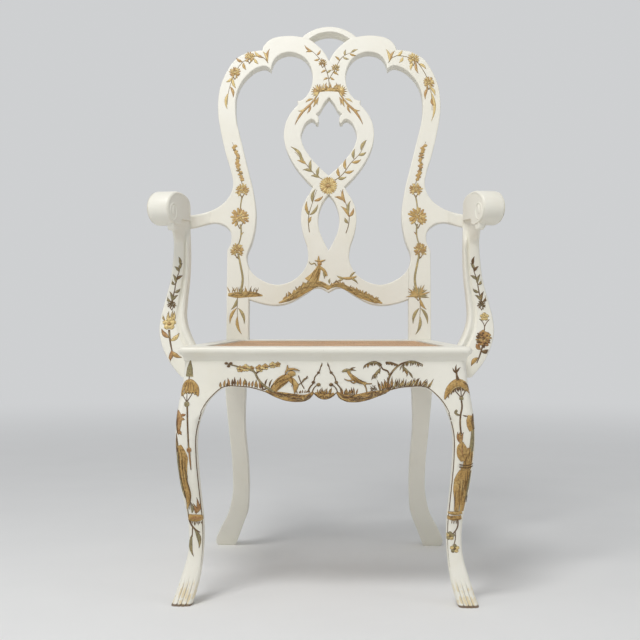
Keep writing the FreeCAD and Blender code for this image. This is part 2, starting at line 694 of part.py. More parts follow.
def cane_panel():
    """Cane sheet as one holed face, thickened: rows of eight-sided gaps in the trapezoid."""
    base = SEAT - size("rabbet_depth")
    columns, rows = int(size("cane_columns")), int(size("cane_rows"))
    near, far = FRONT_WIDTH, REAR_START
    pitch = (far - near) / rows
    wires = [polygon_wire(opening(RABBET - 0.5), base)]
    for row in range(rows):
        depth = near + pitch * (row + 0.5)
        half = frame_edge(depth, SIDE_WIDTH)
        step = 2 * half / columns
        reach = 0.3 * min(step, pitch)
        for column in range(columns):
            x = -half + step * (column + 0.5)
            turns = [math.radians(22.5 + 45 * side) for side in range(8)]
            gap = [(x + reach * math.cos(turn), y_at(depth) + reach * math.sin(turn)) for turn in turns]
            wires.append(polygon_wire(gap, base))
    sheet_face = Part.Face(wires, "Part::FaceMakerBullseye")
    panel = doc.addObject("Part::Feature", "cane_panel")
    panel.Shape = sheet_face.extrude(FreeCAD.Vector(0, 0, size("cane_thickness")))
    return panel


def cane_spline():
    """Reed pressed round the edge of the cane, flush with the frame."""
    base = SEAT - size("rabbet_depth") + size("cane_thickness")
    grow = RABBET - 1
    body = new_body("cane_spline")
    runs = closed(opening(grow)) + closed(opening(grow - size("spline_width")))
    body_pad(body, "XY_Plane", runs, "rabbet_depth - cane_thickness", base)
    return body


# Corner blocks and screws

BLOCK_LOW = 388
FRONT_FACE = size("front_rail_start") + size("rail_thickness")


def side_face(depth):
    """Inner face of the side rail, as a half width."""
    share = (depth - SIDE_FRONT) / (SIDE_REAR - SIDE_FRONT)
    return SIDE_OUT_FRONT + (SIDE_OUT_REAR - SIDE_OUT_FRONT) * share - size("rail_thickness")


def corner_block(label, corners, holes):
    """Glue block across an inside corner of the seat rails."""
    body = new_body(label + "_pad")
    points = [(x, y_at(depth)) for x, depth in corners]
    body_pad(body, "XY_Plane", closed(points), "block_height", BLOCK_LOW)
    return cut(label, body, holes)


FRONT_BLOCK = [(-199, FRONT_FACE), (-150, FRONT_FACE), (-side_face(112), 112), (-side_face(58), 58),
               (-199, 58)]
REAR_BLOCK = [(-120, 430), (-166, 430), (-166, 420.5), (-side_face(420.5), 420.5), (-side_face(365), 365)]
BLOCK_MIDDLE = BLOCK_LOW + size("block_height") / 2


def left_screws():
    """Screws on the left: two in each corner block, one up into the frame, two into the stump."""
    rails = [screw("block_screw_front", (-172, y_at(76), BLOCK_MIDDLE), "-y", 56),
             screw("block_screw_side", (-186, y_at(92), BLOCK_MIDDLE), "-x", 48),
             screw("block_screw_rear", (-150, y_at(400), BLOCK_MIDDLE), "y", 48),
             screw("block_screw_post", (-163, y_at(396), BLOCK_MIDDLE + 8), "-x", 42)]
    frames = [screw("frame_screw_front", (-190, y_at(64), BLOCK_LOW), "z", 50),
              screw("frame_screw_rear", (-170, y_at(408), BLOCK_LOW), "z", 50)]
    stumps = [screw("stump_screw_low", (-side_face(138), y_at(138), 402), "-x", 50),
              screw("stump_screw_high", (-side_face(150), y_at(150), 415), "-x", 56)]
    return rails, frames, stumps


def pair_up(name, solids):
    """The same solids on both sides, as one node."""
    return group(name, solids + [mirror(solid.Name + "_twin", solid) for solid in solids])


# Assembly

block_screws, frame_screws, stump_screws = left_screws()
left_pegs = [dowel("frame_peg_front_0", (-238, y_at(FRONT_WIDTH), SEAT - 14), "y"),
             dowel("frame_peg_front_1", (-222, y_at(FRONT_WIDTH), SEAT - 14), "y"),
             dowel("frame_peg_rear", (-176, y_at(417), SEAT - 14), "x", length=30)]
right_pegs = [mirror(peg.Name + "_twin", peg) for peg in left_pegs]
frame_holes = frame_screws + [mirror(item.Name + "_hole", item) for item in frame_screws]
frame_holes = left_pegs + right_pegs + frame_holes

member_front, member_left, member_rear = seat_frame(frame_holes)
rail_left = cut("side_rail_drilled", side_rail_left(), block_screws + stump_screws)
rail_front = cut("front_rail_drilled", front_rail(), pair_up("front_rail_cutters", block_screws).Links)
rail_rear = cut("rear_rail_drilled", rear_rail(), pair_up("rear_rail_cutters", block_screws).Links)
leg = front_leg_left([rail_front, rail_left])
ear_front, ear_side = knee_brackets_left(leg)
post = post_left()
hoop = hoop_left()
hoop_right = mirror("crest_hoop_right", hoop)
stump = stump_left([member_left, rail_left] + stump_screws)
block_front = corner_block("corner_block_front_left", FRONT_BLOCK, block_screws + frame_screws)
block_rear = corner_block("corner_block_rear_left", REAR_BLOCK, block_screws + frame_screws)
arm = arm_left()

PIECES = {
    "rear_post_left": post,
    "rear_post_right": mirror("rear_post_right", post),
    "crest_hoop_left": hoop,
    "crest_hoop_right": hoop_right,
    "crest_arch": crest_arch([hoop, hoop_right]),
    "back_splat": back_splat(),
    "lower_back_rail": lower_back_rail(),
    "arm_left": arm,
    "arm_right": mirror("arm_right", arm),
    "arm_stump_left": stump,
    "arm_stump_right": mirror("arm_stump_right", stump),
    "front_leg_left": leg,
    "front_leg_right": mirror("front_leg_right", leg),
    "knee_bracket_front_left": ear_front,
    "knee_bracket_front_right": mirror("knee_bracket_front_right", ear_front),
    "knee_bracket_side_left": ear_side,
    "knee_bracket_side_right": mirror("knee_bracket_side_right", ear_side),
    "front_rail": rail_front,
    "rear_rail": rail_rear,
    "side_rail_left": rail_left,
    "side_rail_right": mirror("side_rail_right", rail_left),
    "seat_frame_front": member_front,
    "seat_frame_left": member_left,
    "seat_frame_right": mirror("seat_frame_right", member_left),
    "seat_frame_rear": member_rear,
    "cane_panel": cane_panel(),
    "cane_spline": cane_spline(),
    "corner_block_front_left": block_front,
    "corner_block_front_right": mirror("corner_block_front_right", block_front),
    "corner_block_rear_left": block_rear,
    "corner_block_rear_right": mirror("corner_block_rear_right", block_rear),
    "crest_dowels": group("crest_dowels", crest_pegs + waist_pegs + middle_pegs),
    "splat_dowels": group("splat_dowels", splat_pegs),
    "arm_dowels": group("arm_dowels", arm_pegs),
    "stump_dowels": group("stump_dowels", stump_pegs),
    "seat_frame_dowels": group("seat_frame_dowels", left_pegs + right_pegs),
    "corner_block_screws": pair_up("corner_block_screws", block_screws),
    "seat_frame_screws": pair_up("seat_frame_screws", frame_screws),
    "stump_screws": pair_up("stump_screws", stump_screws),
}

doc.recompute()
for thing in doc.Objects:
    if "Invalid" in thing.State or "Error" in thing.State:
        raise RuntimeError(f"{thing.Label} failed: {thing.State}")
for node, piece in PIECES.items():
    if piece.Shape.isNull() or not piece.Shape.isValid():
        raise RuntimeError(f"{node} has no valid shape")
    if not piece.Shape.Solids:
        raise RuntimeError(f"{node} has no solid")
for node, piece in PIECES.items():
    piece.Label = node
    piece.Shape.exportStep(f"parts/{node}.step")
    print(node, len(piece.Shape.Solids), "solids", round(piece.Shape.Volume / 1000), "cubic centimetres")
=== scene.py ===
import math

import bpy
import numpy as np
from bpy.props import FloatProperty, FloatVectorProperty, PointerProperty
from bpy.types import Operator, Panel, PropertyGroup
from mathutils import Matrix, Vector
from mathutils.geometry import delaunay_2d_cdt


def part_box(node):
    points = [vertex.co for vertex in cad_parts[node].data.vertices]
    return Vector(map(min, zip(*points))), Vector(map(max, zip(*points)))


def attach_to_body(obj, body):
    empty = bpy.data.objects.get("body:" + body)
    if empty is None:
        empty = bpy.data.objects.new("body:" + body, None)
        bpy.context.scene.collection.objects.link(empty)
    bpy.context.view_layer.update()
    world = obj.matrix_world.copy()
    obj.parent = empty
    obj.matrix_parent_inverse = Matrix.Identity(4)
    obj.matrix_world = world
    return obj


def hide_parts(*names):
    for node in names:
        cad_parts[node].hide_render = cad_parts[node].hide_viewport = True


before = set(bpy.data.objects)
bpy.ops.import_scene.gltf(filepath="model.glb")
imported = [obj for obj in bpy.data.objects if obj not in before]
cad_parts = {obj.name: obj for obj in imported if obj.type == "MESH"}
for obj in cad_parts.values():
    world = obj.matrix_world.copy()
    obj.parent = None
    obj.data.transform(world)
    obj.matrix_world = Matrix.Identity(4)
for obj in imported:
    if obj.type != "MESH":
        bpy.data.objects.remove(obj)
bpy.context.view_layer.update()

bl_info = {
    "name": "Painted armchair",
    "version": (1, 0, 0),
    "blender": (4, 5, 0),
    "location": "View3D > Sidebar > Armchair",
    "description": "Builds the painted wood, gilt ornament and woven cane of an armchair round its frame",
    "category": "Object",
}

# Lengths in this file are millimetres unless a property says otherwise, and meshes are made in metres.
# Depth is counted backwards from the front edge of the seat frame; "left" is the -X side.
MM = 0.001
SEAT_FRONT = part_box("seat_frame_front")[0].y / MM
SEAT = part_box("seat_frame_front")[1].z / MM
UNDER_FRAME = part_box("seat_frame_front")[0].z / MM


# Sizes and colours


def amount(name, description, default, **more):
    return FloatProperty(name=name, description=description, default=default, **more)


def metres(name, description, default, low, high):
    return amount(name, description, default, min=low, max=high, unit="LENGTH")


def colour(name, description, default):
    return FloatVectorProperty(name=name, description=description, default=default, min=0, max=1, size=3,
                               subtype="COLOR")


class WoodSizes(PropertyGroup):
    """Shaping of the painted wood."""

    edge_round: metres("Edge rounding", "Radius of the softened edges of the back", 0.0019, 0.0005, 0.008)
    rail_round: metres("Rail rounding", "Radius of the softened edges of the rails", 0.0018, 0.0005, 0.006)
    relief: metres("Relief", "How far the gilt ornament stands out of the paint", 0.0008, 0.0002, 0.002)


class CaneSizes(PropertyGroup):
    """Woven cane of the seat."""

    pitch: metres("Pitch", "Distance between the pairs of strands", 0.0127, 0.008, 0.025)
    strand: metres("Strand", "Width of the straight strands", 0.0024, 0.001, 0.004)
    binder: metres("Slanting strand", "Width of the slanting strands", 0.0030, 0.001, 0.005)


class Colours(PropertyGroup):
    """Colours of the finishes."""

    ivory: colour("Ivory", "Ground paint", (0.86, 0.835, 0.74))
    aged: colour("Aged ivory", "Yellowed ground paint", (0.72, 0.65, 0.46))
    gold: colour("Gold", "Gilt paint", (0.48, 0.29, 0.09))
    umber: colour("Umber", "Outlines of the ornament", (0.125, 0.066, 0.024))
    sage: colour("Sage", "Green of some leaves", (0.27, 0.235, 0.12))
    clay: colour("Clay", "Red of some petals", (0.40, 0.205, 0.075))
    straw: colour("Straw", "Pale yellow of some petals", (0.72, 0.55, 0.24))
    cane: colour("Cane", "Woven cane", (0.48, 0.30, 0.17))
    floor: colour("Floor", "Floor near the chair", (0.86, 0.86, 0.85))
    backdrop: colour("Backdrop", "Background, and the floor far away", (0.62, 0.63, 0.64))


class StageSizes(PropertyGroup):
    """Camera and lamps."""

    camera_at: FloatVectorProperty(name="Camera", description="Place of the camera", unit="LENGTH", size=3,
                                   default=(0.0389, -2.3777, 0.5245), subtype="TRANSLATION")
    lens: amount("Lens", "Focal length in millimetres", 68.2, min=20, max=200)
    pitch_down: amount("Pitch", "Camera turned down from level", math.radians(0.756), subtype="ANGLE")
    yaw: amount("Yaw", "Camera turned to the left", math.radians(1.285), subtype="ANGLE")
    key: amount("Key lamp", "Power of the large front lamp", 71, min=0, unit="POWER")
    fill: amount("Fill lamp", "Power of the side lamps", 10, min=0, unit="POWER")
    sky: amount("Sky", "Light from all round", 0.4, min=0, max=2)


def wood():
    return bpy.context.scene.armchair_wood


def weave():
    return bpy.context.scene.armchair_cane


def colours():
    return bpy.context.scene.armchair_colours


# Curves


def through(knots, values, at):
    """Cubic through the values at the knots; its slope at each is the weighted slope of the chords there."""
    knots = np.asarray(knots, float)
    values = np.asarray(values, float)
    order = 2 if len(knots) > 2 else 1
    slope = np.gradient(values, knots, axis=0, edge_order=order)
    at = np.clip(np.asarray(at, float), knots[0], knots[-1])
    span = np.clip(np.searchsorted(knots, at, side="right") - 1, 0, len(knots) - 2)
    width = knots[span + 1] - knots[span]
    share = (at - knots[span]) / width
    if values.ndim > 1:
        width = width[..., None]
        share = share[..., None]
    square = share * share
    cube = square * share
    start = values[span] * (2 * cube - 3 * square + 1) + slope[span] * width * (cube - 2 * square + share)
    end = values[span + 1] * (3 * square - 2 * cube) + slope[span + 1] * width * (cube - square)
    return start + end


def lengths(points):
    """Chord length along a row of points, from its first."""
    steps = np.linalg.norm(np.diff(points, axis=0), axis=1)
    return np.concatenate([[0.0], np.cumsum(steps)])


def smooth(points, count):
    """So many points along the smooth curve through the given ones, evenly spread in chord length."""
    points = np.asarray(points, float)
    along = lengths(points)
    return through(along, points, np.linspace(0, along[-1], count))


def graph(pairs):
    """Function of height that passes smoothly through (value, height) pairs."""
    rows = np.asarray(sorted(pairs, key=lambda pair: pair[1]), float)
    return lambda height: through(rows[:, 1], rows[:, 0], height)


def flip(points):
    """The same points on the other side of the middle, in the opposite order."""
    return [(-a, b) for a, b in reversed(points)]


def spots(across, depth, height):
    """Points from a place across, a depth behind the front edge of the seat frame and a height."""
    return np.stack([across, SEAT_FRONT + depth, height], axis=1)


def full_turn(count):
    """So many angles, evenly spread over a full turn."""
    return np.linspace(0, 2 * math.pi, count + 1)[:-1]


def ease(value, low, high):
    """0 below low, 1 above high and a smooth step between."""
    share = np.clip((np.asarray(value, float) - low) / (high - low), 0, 1)
    return share * share * (3 - 2 * share)


# Shapes

SHARP_EDGE = math.radians(38)


class Shape:
    """Points in millimetres, triangles, quads, and one number a point for each mark that finishes read."""

    def __init__(self, points, tris, quads, marks=None):
        self.points = np.asarray(points, float).reshape(-1, 3)
        self.tris = np.asarray(tris, int).reshape(-1, 3)
        self.quads = np.asarray(quads, int).reshape(-1, 4)
        self.marks = marks or {}

    def outward(self):
        """Turn every face round if the signed volume says that they point inwards."""
        halves = np.concatenate([self.tris, self.quads[:, [0, 1, 2]], self.quads[:, [0, 2, 3]]])
        a, b, c = (self.points[halves[:, k]] for k in range(3))
        if np.einsum("ij,ij->i", a, np.cross(b, c)).sum() < 0:
            self.tris = self.tris[:, ::-1]
            self.quads = self.quads[:, ::-1]
        return self

    def mirrored(self):
        """Moved to the other side of the middle, with its faces turned to stay outward."""
        return Shape(self.points * (-1, 1, 1), self.tris[:, ::-1], self.quads[:, ::-1], self.marks)


def joined(shapes):
    """Several shapes as one; a mark that a shape lacks is 0 on it."""
    starts = np.cumsum([0] + [len(shape.points) for shape in shapes])
    names = {name for shape in shapes for name in shape.marks}
    marks = {name: np.concatenate([shape.marks.get(name, np.zeros(len(shape.points))) for shape in shapes])
             for name in names}
    return Shape(np.concatenate([shape.points for shape in shapes]),
                 np.concatenate([shape.tris + start for shape, start in zip(shapes, starts)]),
                 np.concatenate([shape.quads + start for shape, start in zip(shapes, starts)]), marks)


def piece(name, shape, material, nodes=()):
    """Put a shape into a mesh object that rides on the frame and stands for some of its nodes."""
    mesh = bpy.data.meshes.new(name)
    mesh.from_pydata((shape.points * MM).tolist(), [], shape.tris.tolist() + shape.quads.tolist())
    for mark, values in shape.marks.items():
        layer = mesh.attributes.new(mark, "FLOAT", "POINT")
        layer.data.foreach_set("value", np.asarray(values, np.float32))
    mesh.polygons.foreach_set("use_smooth", np.ones(len(mesh.polygons), bool))
    mesh.set_sharp_from_angle(angle=SHARP_EDGE)
    mesh.materials.append(material)
    thing = bpy.data.objects.new(name, mesh)
    bpy.context.scene.collection.objects.link(thing)
    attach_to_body(thing, "root")
    if nodes:
        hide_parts(*nodes)


def painted(name, shape, node):
    """A piece of painted wood that stands for one node."""
    piece(name, shape, finish(ivory_paint), [node])


def painted_pair(name, shape, node):
    """The left piece and its mirror image, for two nodes whose names end in the side."""
    painted(name + "_left", shape, node + "_left")
    painted(name + "_right", shape.mirrored(), node + "_right")


def loft(sections, marks=None):
    """Closed skin over closed sections: a grid of quads that wraps round them, with a fan on each end."""
    sections = np.asarray(sections, float)
    rows, around = sections.shape[:2]
    ids = np.arange(rows * around).reshape(rows, around)
    ahead = np.roll(ids, -1, axis=1)
    quads = np.stack([ids[:-1], ahead[:-1], ahead[1:], ids[1:]], axis=-1).reshape(-1, 4)
    first, last = rows * around, rows * around + 1
    tris = np.concatenate([np.stack([ahead[0], ids[0], np.full(around, first)], axis=-1),
                           np.stack([ids[-1], ahead[-1], np.full(around, last)], axis=-1)])
    points = np.concatenate([sections.reshape(-1, 3), sections[:1].mean(axis=1), sections[-1:].mean(axis=1)])
    full = {name: np.concatenate([values.reshape(-1), [values[0].mean(), values[-1].mean()]])
            for name, values in (marks or {}).items()}
    return Shape(points, tris, quads, full).outward()


# Edge profiles: rows of inset from the outline, share of the thickness and distance from that face

PLAIN = 0.02
GUARD = 0.8
ROUND_STEPS = 5


def rounded(radius):
    """Quarter circles on the front and rear edges; the ring inside each keeps the flat face flat."""
    turn = np.linspace(0, math.pi / 2, ROUND_STEPS)
    rows = np.stack([radius * (1 - np.sin(turn)), radius * (1 - np.cos(turn))], axis=1)
    front = np.insert(np.concatenate([[[radius + GUARD, 0]], rows]), 1, 0, axis=1)
    return np.concatenate([front, front[::-1] * (1, 1, -1) + (0, 1, 0)])


def plain(profile):
    """The same rings drawn almost onto the outline, for a joint."""
    return profile * (PLAIN, 1, PLAIN)


def edges(radius):
    """A softened edge whose radius is given in metres, and the plain edge of a joint."""
    soft = rounded(radius / MM)
    return soft, plain(soft)


def ring(runs, joint):
    """A closed loop of runs, each of points and a profile. A straight joint is put in wherever a run doesn't
    start where the one before it ends."""
    closed = []
    for (points, profile), (after, _) in zip(runs, runs[1:] + runs[:1]):
        closed.append((points, profile))
        if tuple(points[-1]) != tuple(after[0]):
            closed.append(([points[-1], after[0]], joint))
    return closed


def outline(runs, spacing):
    """One closed loop from runs of points and profile that follow each other; each side has a profile."""
    points, profiles = [], []
    for run, profile in runs:
        count = max(2, int(lengths(np.asarray(run, float))[-1] / spacing) + 1)
        part = smooth(run, count)[:-1]
        points.append(part)
        profiles.append(np.repeat(profile[None], len(part), axis=0))
    return np.concatenate(points), np.concatenate(profiles)


SHARP_TURN = 0.2
LONGEST_MITRE = 3
STRAIGHT_WEIGHT = 0.02
SHORTEST_STEP = 0.01
UNTANGLE_ROUNDS = 16
TINY = 1e-9


def inset(points, sides):
    """A loop moved to its left, each side by its own distance. At a corner the new point lies at both
    distances from the two sides that meet there. Points that overtake each other are drawn together."""
    ahead = np.roll(points, -1, axis=0) - points
    unit = ahead / np.maximum(np.linalg.norm(ahead, axis=1, keepdims=True), TINY)
    after = np.stack([-unit[:, 1], unit[:, 0]], axis=1)
    before = np.roll(after, 1, axis=0)
    near, far = np.roll(sides, 1)[:, None], sides[:, None]
    turn = (before[:, 0] * after[:, 1] - before[:, 1] * after[:, 0])[:, None]
    bend = 1 + (before * after).sum(1, keepdims=True)
    quarter = np.array([1, -1])
    gently = np.abs(turn) < SHARP_TURN
    corner = (near * after[:, ::-1] * quarter - far * before[:, ::-1] * quarter) / np.where(gently, 1, turn)
    gentle = (before + after) / np.maximum(bend, SHARP_TURN) * (near + far) / 2
    shift = np.where(gently, gentle, corner)
    size = np.linalg.norm(shift, axis=1, keepdims=True)
    shift = shift * np.minimum(1, LONGEST_MITRE * np.maximum(near, far) / np.maximum(size, TINY))
    moved = points + shift
    weight = STRAIGHT_WEIGHT + np.abs(turn[:, 0])
    for _ in range(UNTANGLE_ROUNDS):
        step = np.roll(moved, -1, axis=0) - moved
        back = (step * ahead).sum(1) < SHORTEST_STEP * (ahead * ahead).sum(1)
        if not back.any() or back.all():
            break
        group = np.cumsum(~np.roll(back, 1))
        group[group == 0] = group.max()
        total = np.bincount(group, weight)
        mean = np.stack([np.bincount(group, weight * moved[:, k]) for k in (0, 1)], axis=1)
        moved = mean[group] / total[group][:, None]
    return moved


LEVEL = 1e-12
SAME_PLACE = 1e-7
# Distances between the points of an outline, and between the points inside a face
FINEST, FINE, MEDIUM, COARSE = 1.5, 2.5, 3.0, 6
EAR_GRID, SMALL_GRID, BACK_GRID, RAIL_GRID = 6, 9, 12, 14


def doubled_area(points):
    """Twice the area inside a loop, positive if it runs anticlockwise."""
    ahead = np.roll(points, -1, axis=0)
    return (points[:, 0] * ahead[:, 1] - ahead[:, 0] * points[:, 1]).sum()


def enclosed(points, loops):
    """True for points inside an odd number of loops."""
    inside = np.zeros(len(points), bool)
    for loop in loops:
        a, b = loop, np.roll(loop, -1, axis=0)
        spans = (a[:, 1][None] > points[:, 1][:, None]) != (b[:, 1][None] > points[:, 1][:, None])
        rise = np.where(np.abs(b[:, 1] - a[:, 1]) < LEVEL, LEVEL, b[:, 1] - a[:, 1])
        cross = a[:, 0] + (points[:, 1][:, None] - a[:, 1]) / rise * (b[:, 0] - a[:, 0])
        inside ^= (spans & (points[:, 0][:, None] < cross)).sum(1) % 2 == 1
    return inside


def banded(runs, spacing, outer):
    """One outline, repeated for every row of its profile and moved inwards by the row's inset: rings of two
    chart coordinates, a share of the thickness and a distance."""
    points, profile = outline(runs, spacing)
    if (doubled_area(points) > 0) != outer:
        points, profile = points[::-1], np.roll(profile[::-1], -1, axis=0)
    moved = np.stack([inset(points, profile[:, row, 0]) for row in range(profile.shape[1])])
    last = np.roll(profile, 1, axis=0)
    depths = np.where(np.abs(last[:, :, 2]) > np.abs(profile[:, :, 2]), last[:, :, 2], profile[:, :, 2])
    return np.concatenate([moved, np.stack([profile[:, :, 1].T, depths.T], axis=2)], axis=2)


def strewn(loops, grid):
    """A grid of points inside the loops, clear of their edges."""
    every = np.concatenate(loops)
    low, high = every.min(0), every.max(0)
    across, up = np.meshgrid(*(np.arange(low[k] + grid / 2, high[k], grid) for k in (0, 1)))
    points = np.stack([across.ravel(), up.ravel()], axis=1)
    gap = np.linalg.norm(points[:, None] - every[None], axis=2).min(1)
    return points[enclosed(points, loops) & (gap > grid / 3)]


def filled(loops, inner):
    """Triangles between the loops, over the points of the loops, the inner points and those that the filling
    adds where edges cross; also gives the added points."""
    borders, base = [], 0
    for loop in loops:
        ids = base + np.arange(len(loop))
        borders.append(np.stack([ids, np.roll(ids, -1)], axis=1))
        base += len(loop)
    chart = np.concatenate(loops + [inner])
    corners = [Vector(point) for point in chart]
    made = delaunay_2d_cdt(corners, np.concatenate(borders).tolist(), [], 2, SAME_PLACE)
    points, tris = np.array([tuple(point) for point in made[0]]), np.array(made[2])
    tris = tris[enclosed(points[tris].mean(axis=1), loops)]
    origin = np.array([sources[0] if sources else -1 for sources in made[3]])
    added = origin < 0
    origin[added] = len(chart) + np.arange(added.sum())
    return origin[tris], points[added].reshape(-1, 2)


def slab(loops, place, spacing=MEDIUM, grid=0.0):
    """Board with shaped edges. Neighbouring rings of each outline are joined by quads, and the first and
    last rings of all outlines are filled. The first outline is the outer one. place gives points from what
    the rings hold; grid adds points inside the faces, which then follow a bend."""
    bands = [banded(runs, spacing, number == 0) for number, runs in enumerate(loops)]
    rows, quads, front, rear, start = [], [], [], [], 0
    for band in bands:
        ids = start + np.arange(band.shape[0] * band.shape[1]).reshape(band.shape[:2])
        ahead = np.roll(ids, -1, axis=1)
        quads.append(np.stack([ids[:-1], ids[1:], ahead[1:], ahead[:-1]], axis=-1).reshape(-1, 4))
        rows.append(band.reshape(-1, 4))
        front.append(ids[0])
        rear.append(ids[-1])
        start += ids.size
    flat = [band[0, :, :2] for band in bands]
    inner = strewn(flat, grid) if grid else np.zeros((0, 2))
    tris, extra = filled(flat, inner)
    for group in (inner, extra):
        for share, face in ((0, front), (1, rear)):
            rows.append(np.column_stack([group, np.full(len(group), share), np.zeros(len(group))]))
            face.append(start + np.arange(len(group)))
            start += len(group)
    ends = np.concatenate([np.concatenate(front)[tris], np.concatenate(rear)[tris[:, ::-1]]])
    return Shape(place(*np.concatenate(rows).T), ends, np.concatenate(quads)).outward()


# The back

LEAN = math.radians(4)
SWEEP = 4317.0
POST_FRONT = 425.0
SWEEP_DEPTH = POST_FRONT + SWEEP * math.cos(LEAN)
SWEEP_HEIGHT = SEAT - SWEEP * math.sin(LEAN)
BACK_THICK = 26.0
CREST_JOINT = 905
WAIST_JOINT = 1006
SPLAT_JOINT = 625
POST_INNER = 167
WING_END = 250
BOW_SETBACK = 0.5
BOW_THICK = 25.0


def back_depth(height):
    """Depth of the front of the back at a height: an arc that leans further the higher it gets."""
    return SWEEP_DEPTH - np.sqrt(SWEEP ** 2 - (height - SWEEP_HEIGHT) ** 2)


def behind_back(across, height, inward_by, square=1.0):
    """Points so far behind the face of the back, measured square to it."""
    lean = np.arcsin((height - SWEEP_HEIGHT) / SWEEP)
    depth = back_depth(height) + inward_by * np.where(square > 0, np.cos(lean), 1)
    return spots(across, depth, height - inward_by * np.sin(lean) * square)


def on_back(across, height, share, distance):
    """Behind the curved face of the back by a share of its thickness and a distance."""
    return behind_back(across, height, share * BACK_THICK + distance)


def on_bow(across, height, share, distance):
    """The small bow is thinner than the hoops and lies a little behind their faces."""
    return behind_back(across, height, BOW_SETBACK + share * BOW_THICK + distance)


BOW_OUTER = (84, 1040.2)
BOW_INNER = (60.5, 1047)
BOW_REACH = (math.radians(57), math.radians(49))
BOW_POINTS = 15
BOW_ROUND = 2.6
CURL_ROUND = 2.2
# Under the bow: a sloping face behind the front edge, then a step down to the rear edge.
BOW_SOFFIT = np.array([
    (6.3, 0, 0), (5.5, 0, 0), (5.0, 0, 0.3), (4.7, 0, 1.2), (3.9, 0, 8), (3.2, 0, 13.4), (0.9, 0, 14.4),
    (0.1, 0, 15.4), (0, 0, 20), (0, 1, -1.6), (0.6, 1, -0.4), (2, 1, 0)])

LEG_FRONT = graph([(529, 0), (505, 40), (478, 100), (455, 180), (436, 280), (424.4, 380), (423.2, 420),
                   (425, SEAT)])
LEG_REAR = graph([(567, 0), (545, 40), (515, 100), (491, 180), (472, 280), (461, 380), (461, 420),
                  (463, SEAT)])
POST_THICK = graph([(38, SEAT), (31, 680), (26, CREST_JOINT)])
# Heights between which the post turns square to the back, and half widths over which its wing turns level.
SQUARING = (500, 680)
WING_FADE = (212, 246)


def on_post(across, height, share, distance):
    """Above the seat the post follows the back and grows thinner; below it follows the leg's two curves."""
    above = height >= SEAT
    thick = np.where(above, POST_THICK(height), LEG_REAR(height) - LEG_FRONT(height))
    square = ease(height, *SQUARING) * (1 - ease(np.abs(across), *WING_FADE))
    upper = behind_back(across, np.maximum(height, SEAT), share * thick + distance, square)
    depth = np.where(above, upper[:, 1], SEAT_FRONT + LEG_FRONT(height) + share * thick + distance)
    return np.stack([across, depth, np.where(above, upper[:, 2], height)], axis=1)


OUTER_STILE = [(232.7, CREST_JOINT), (217.2, 838), (206.6, 803.6), (202.2, 777.8), (205.7, 760.7),
               (216.1, 743.6), (235, 728), (WING_END, 720.5)]
UNDER_WING = [(WING_END, 694), (236, 694.8), (224, 692.5), (213, 685.5), (206.2, 675.7), (204.2, 663),
              (213, 638)]
OUTER_LEG = [(213.5, SEAT), (215.8, 345), (209.6, 260), (203.6, 182), (205, 120), (217, 74),
             (236.5, 36), (245.5, 10), (245, 4), (241, 0)]
INNER_LEG = [(204, 0), (187, 45), (176, 74), (170.6, 120), (170.4, 182), (176, 270), (173, 350),
             (POST_INNER, 430)]
INNER_STILE = [(POST_INNER, 600), (172, 620), (160.4, 658.8), (154.1, 692.6), (153.5, 720), (157.6, 752),
               (173.8, 820.8), (195.2, CREST_JOINT)]


def leftward(runs):
    """Runs drawn with positive half widths, moved to the left side."""
    return [([(-a, b) for a, b in points], profile) for points, profile in runs]


def post_shape():
    """Outline of leg, wing and stile, carried back through the thickness of the post."""
    soft, joint = edges(wood().edge_round)
    curves = [OUTER_STILE, UNDER_WING, [UNDER_WING[-1], OUTER_LEG[0]], OUTER_LEG, INNER_LEG,
              [INNER_LEG[-1], INNER_STILE[0]], INNER_STILE]
    return slab([leftward(ring([(curve, soft) for curve in curves], joint))], on_post, grid=BACK_GRID)


SHOULDER = [(232.7, CREST_JOINT), (236.8, 934), (237.2, 955), (233.6, 987), (220.4, 1022.5), (202.9, 1049.4),
            (180, 1064.5), (155, 1070.3), (144.9, 1070.8)]
HOOP_OVER = [(144.9, 1070.8), (142, 1079), (127.2, 1095.6), (105, 1102.2), (86.5, 1103.6), (66, 1101.8),
             (44, 1096), (29.9, 1085.5), (11.9, 1067.4), (0, 1046)]
WAIST = [(0, WAIST_JOINT), (35.4, WAIST_JOINT)]
HOOP_UNDER = [WAIST[1], (35.4, 1014.7), (40.4, 1035.3), (51.8, 1052.6), (66.8, 1062.4), (83.2, 1066.4),
              (97.4, 1064.6), (111, 1057.4), (121.2, 1042), (124.6, 1027)]
HOOP_INSIDE = [(124.6, 1027), (137.9, 1035.3), (153.2, 1032), (176.8, 1013.6), (189.4, 995.8), (198, 970),
               (199.4, 942.7), (195.2, CREST_JOINT)]


def hoop_shape():
    """Outline of half the crest, carried back through its thickness."""
    soft, joint = edges(wood().edge_round)
    runs = [(SHOULDER, soft), (HOOP_OVER, soft), (WAIST, joint), (HOOP_UNDER, soft), (HOOP_INSIDE, soft)]
    return slab([leftward(ring(runs, joint))], on_back, grid=BACK_GRID)


def bow_shape():
    """Two arcs: a softened one over the bow and one with the stepped soffit under it."""
    soft = rounded(BOW_ROUND)

    def arc(circle, reach):
        radius, middle = circle
        turns = np.linspace(-reach, reach, BOW_POINTS)
        return [(radius * math.sin(turn), middle + radius * math.cos(turn)) for turn in turns]

    over, under = (arc(circle, reach) for circle, reach in zip((BOW_OUTER, BOW_INNER), BOW_REACH))
    return slab([ring([(over, soft), (under[::-1], BOW_SOFFIT)], plain(soft))], on_bow, spacing=FINE)


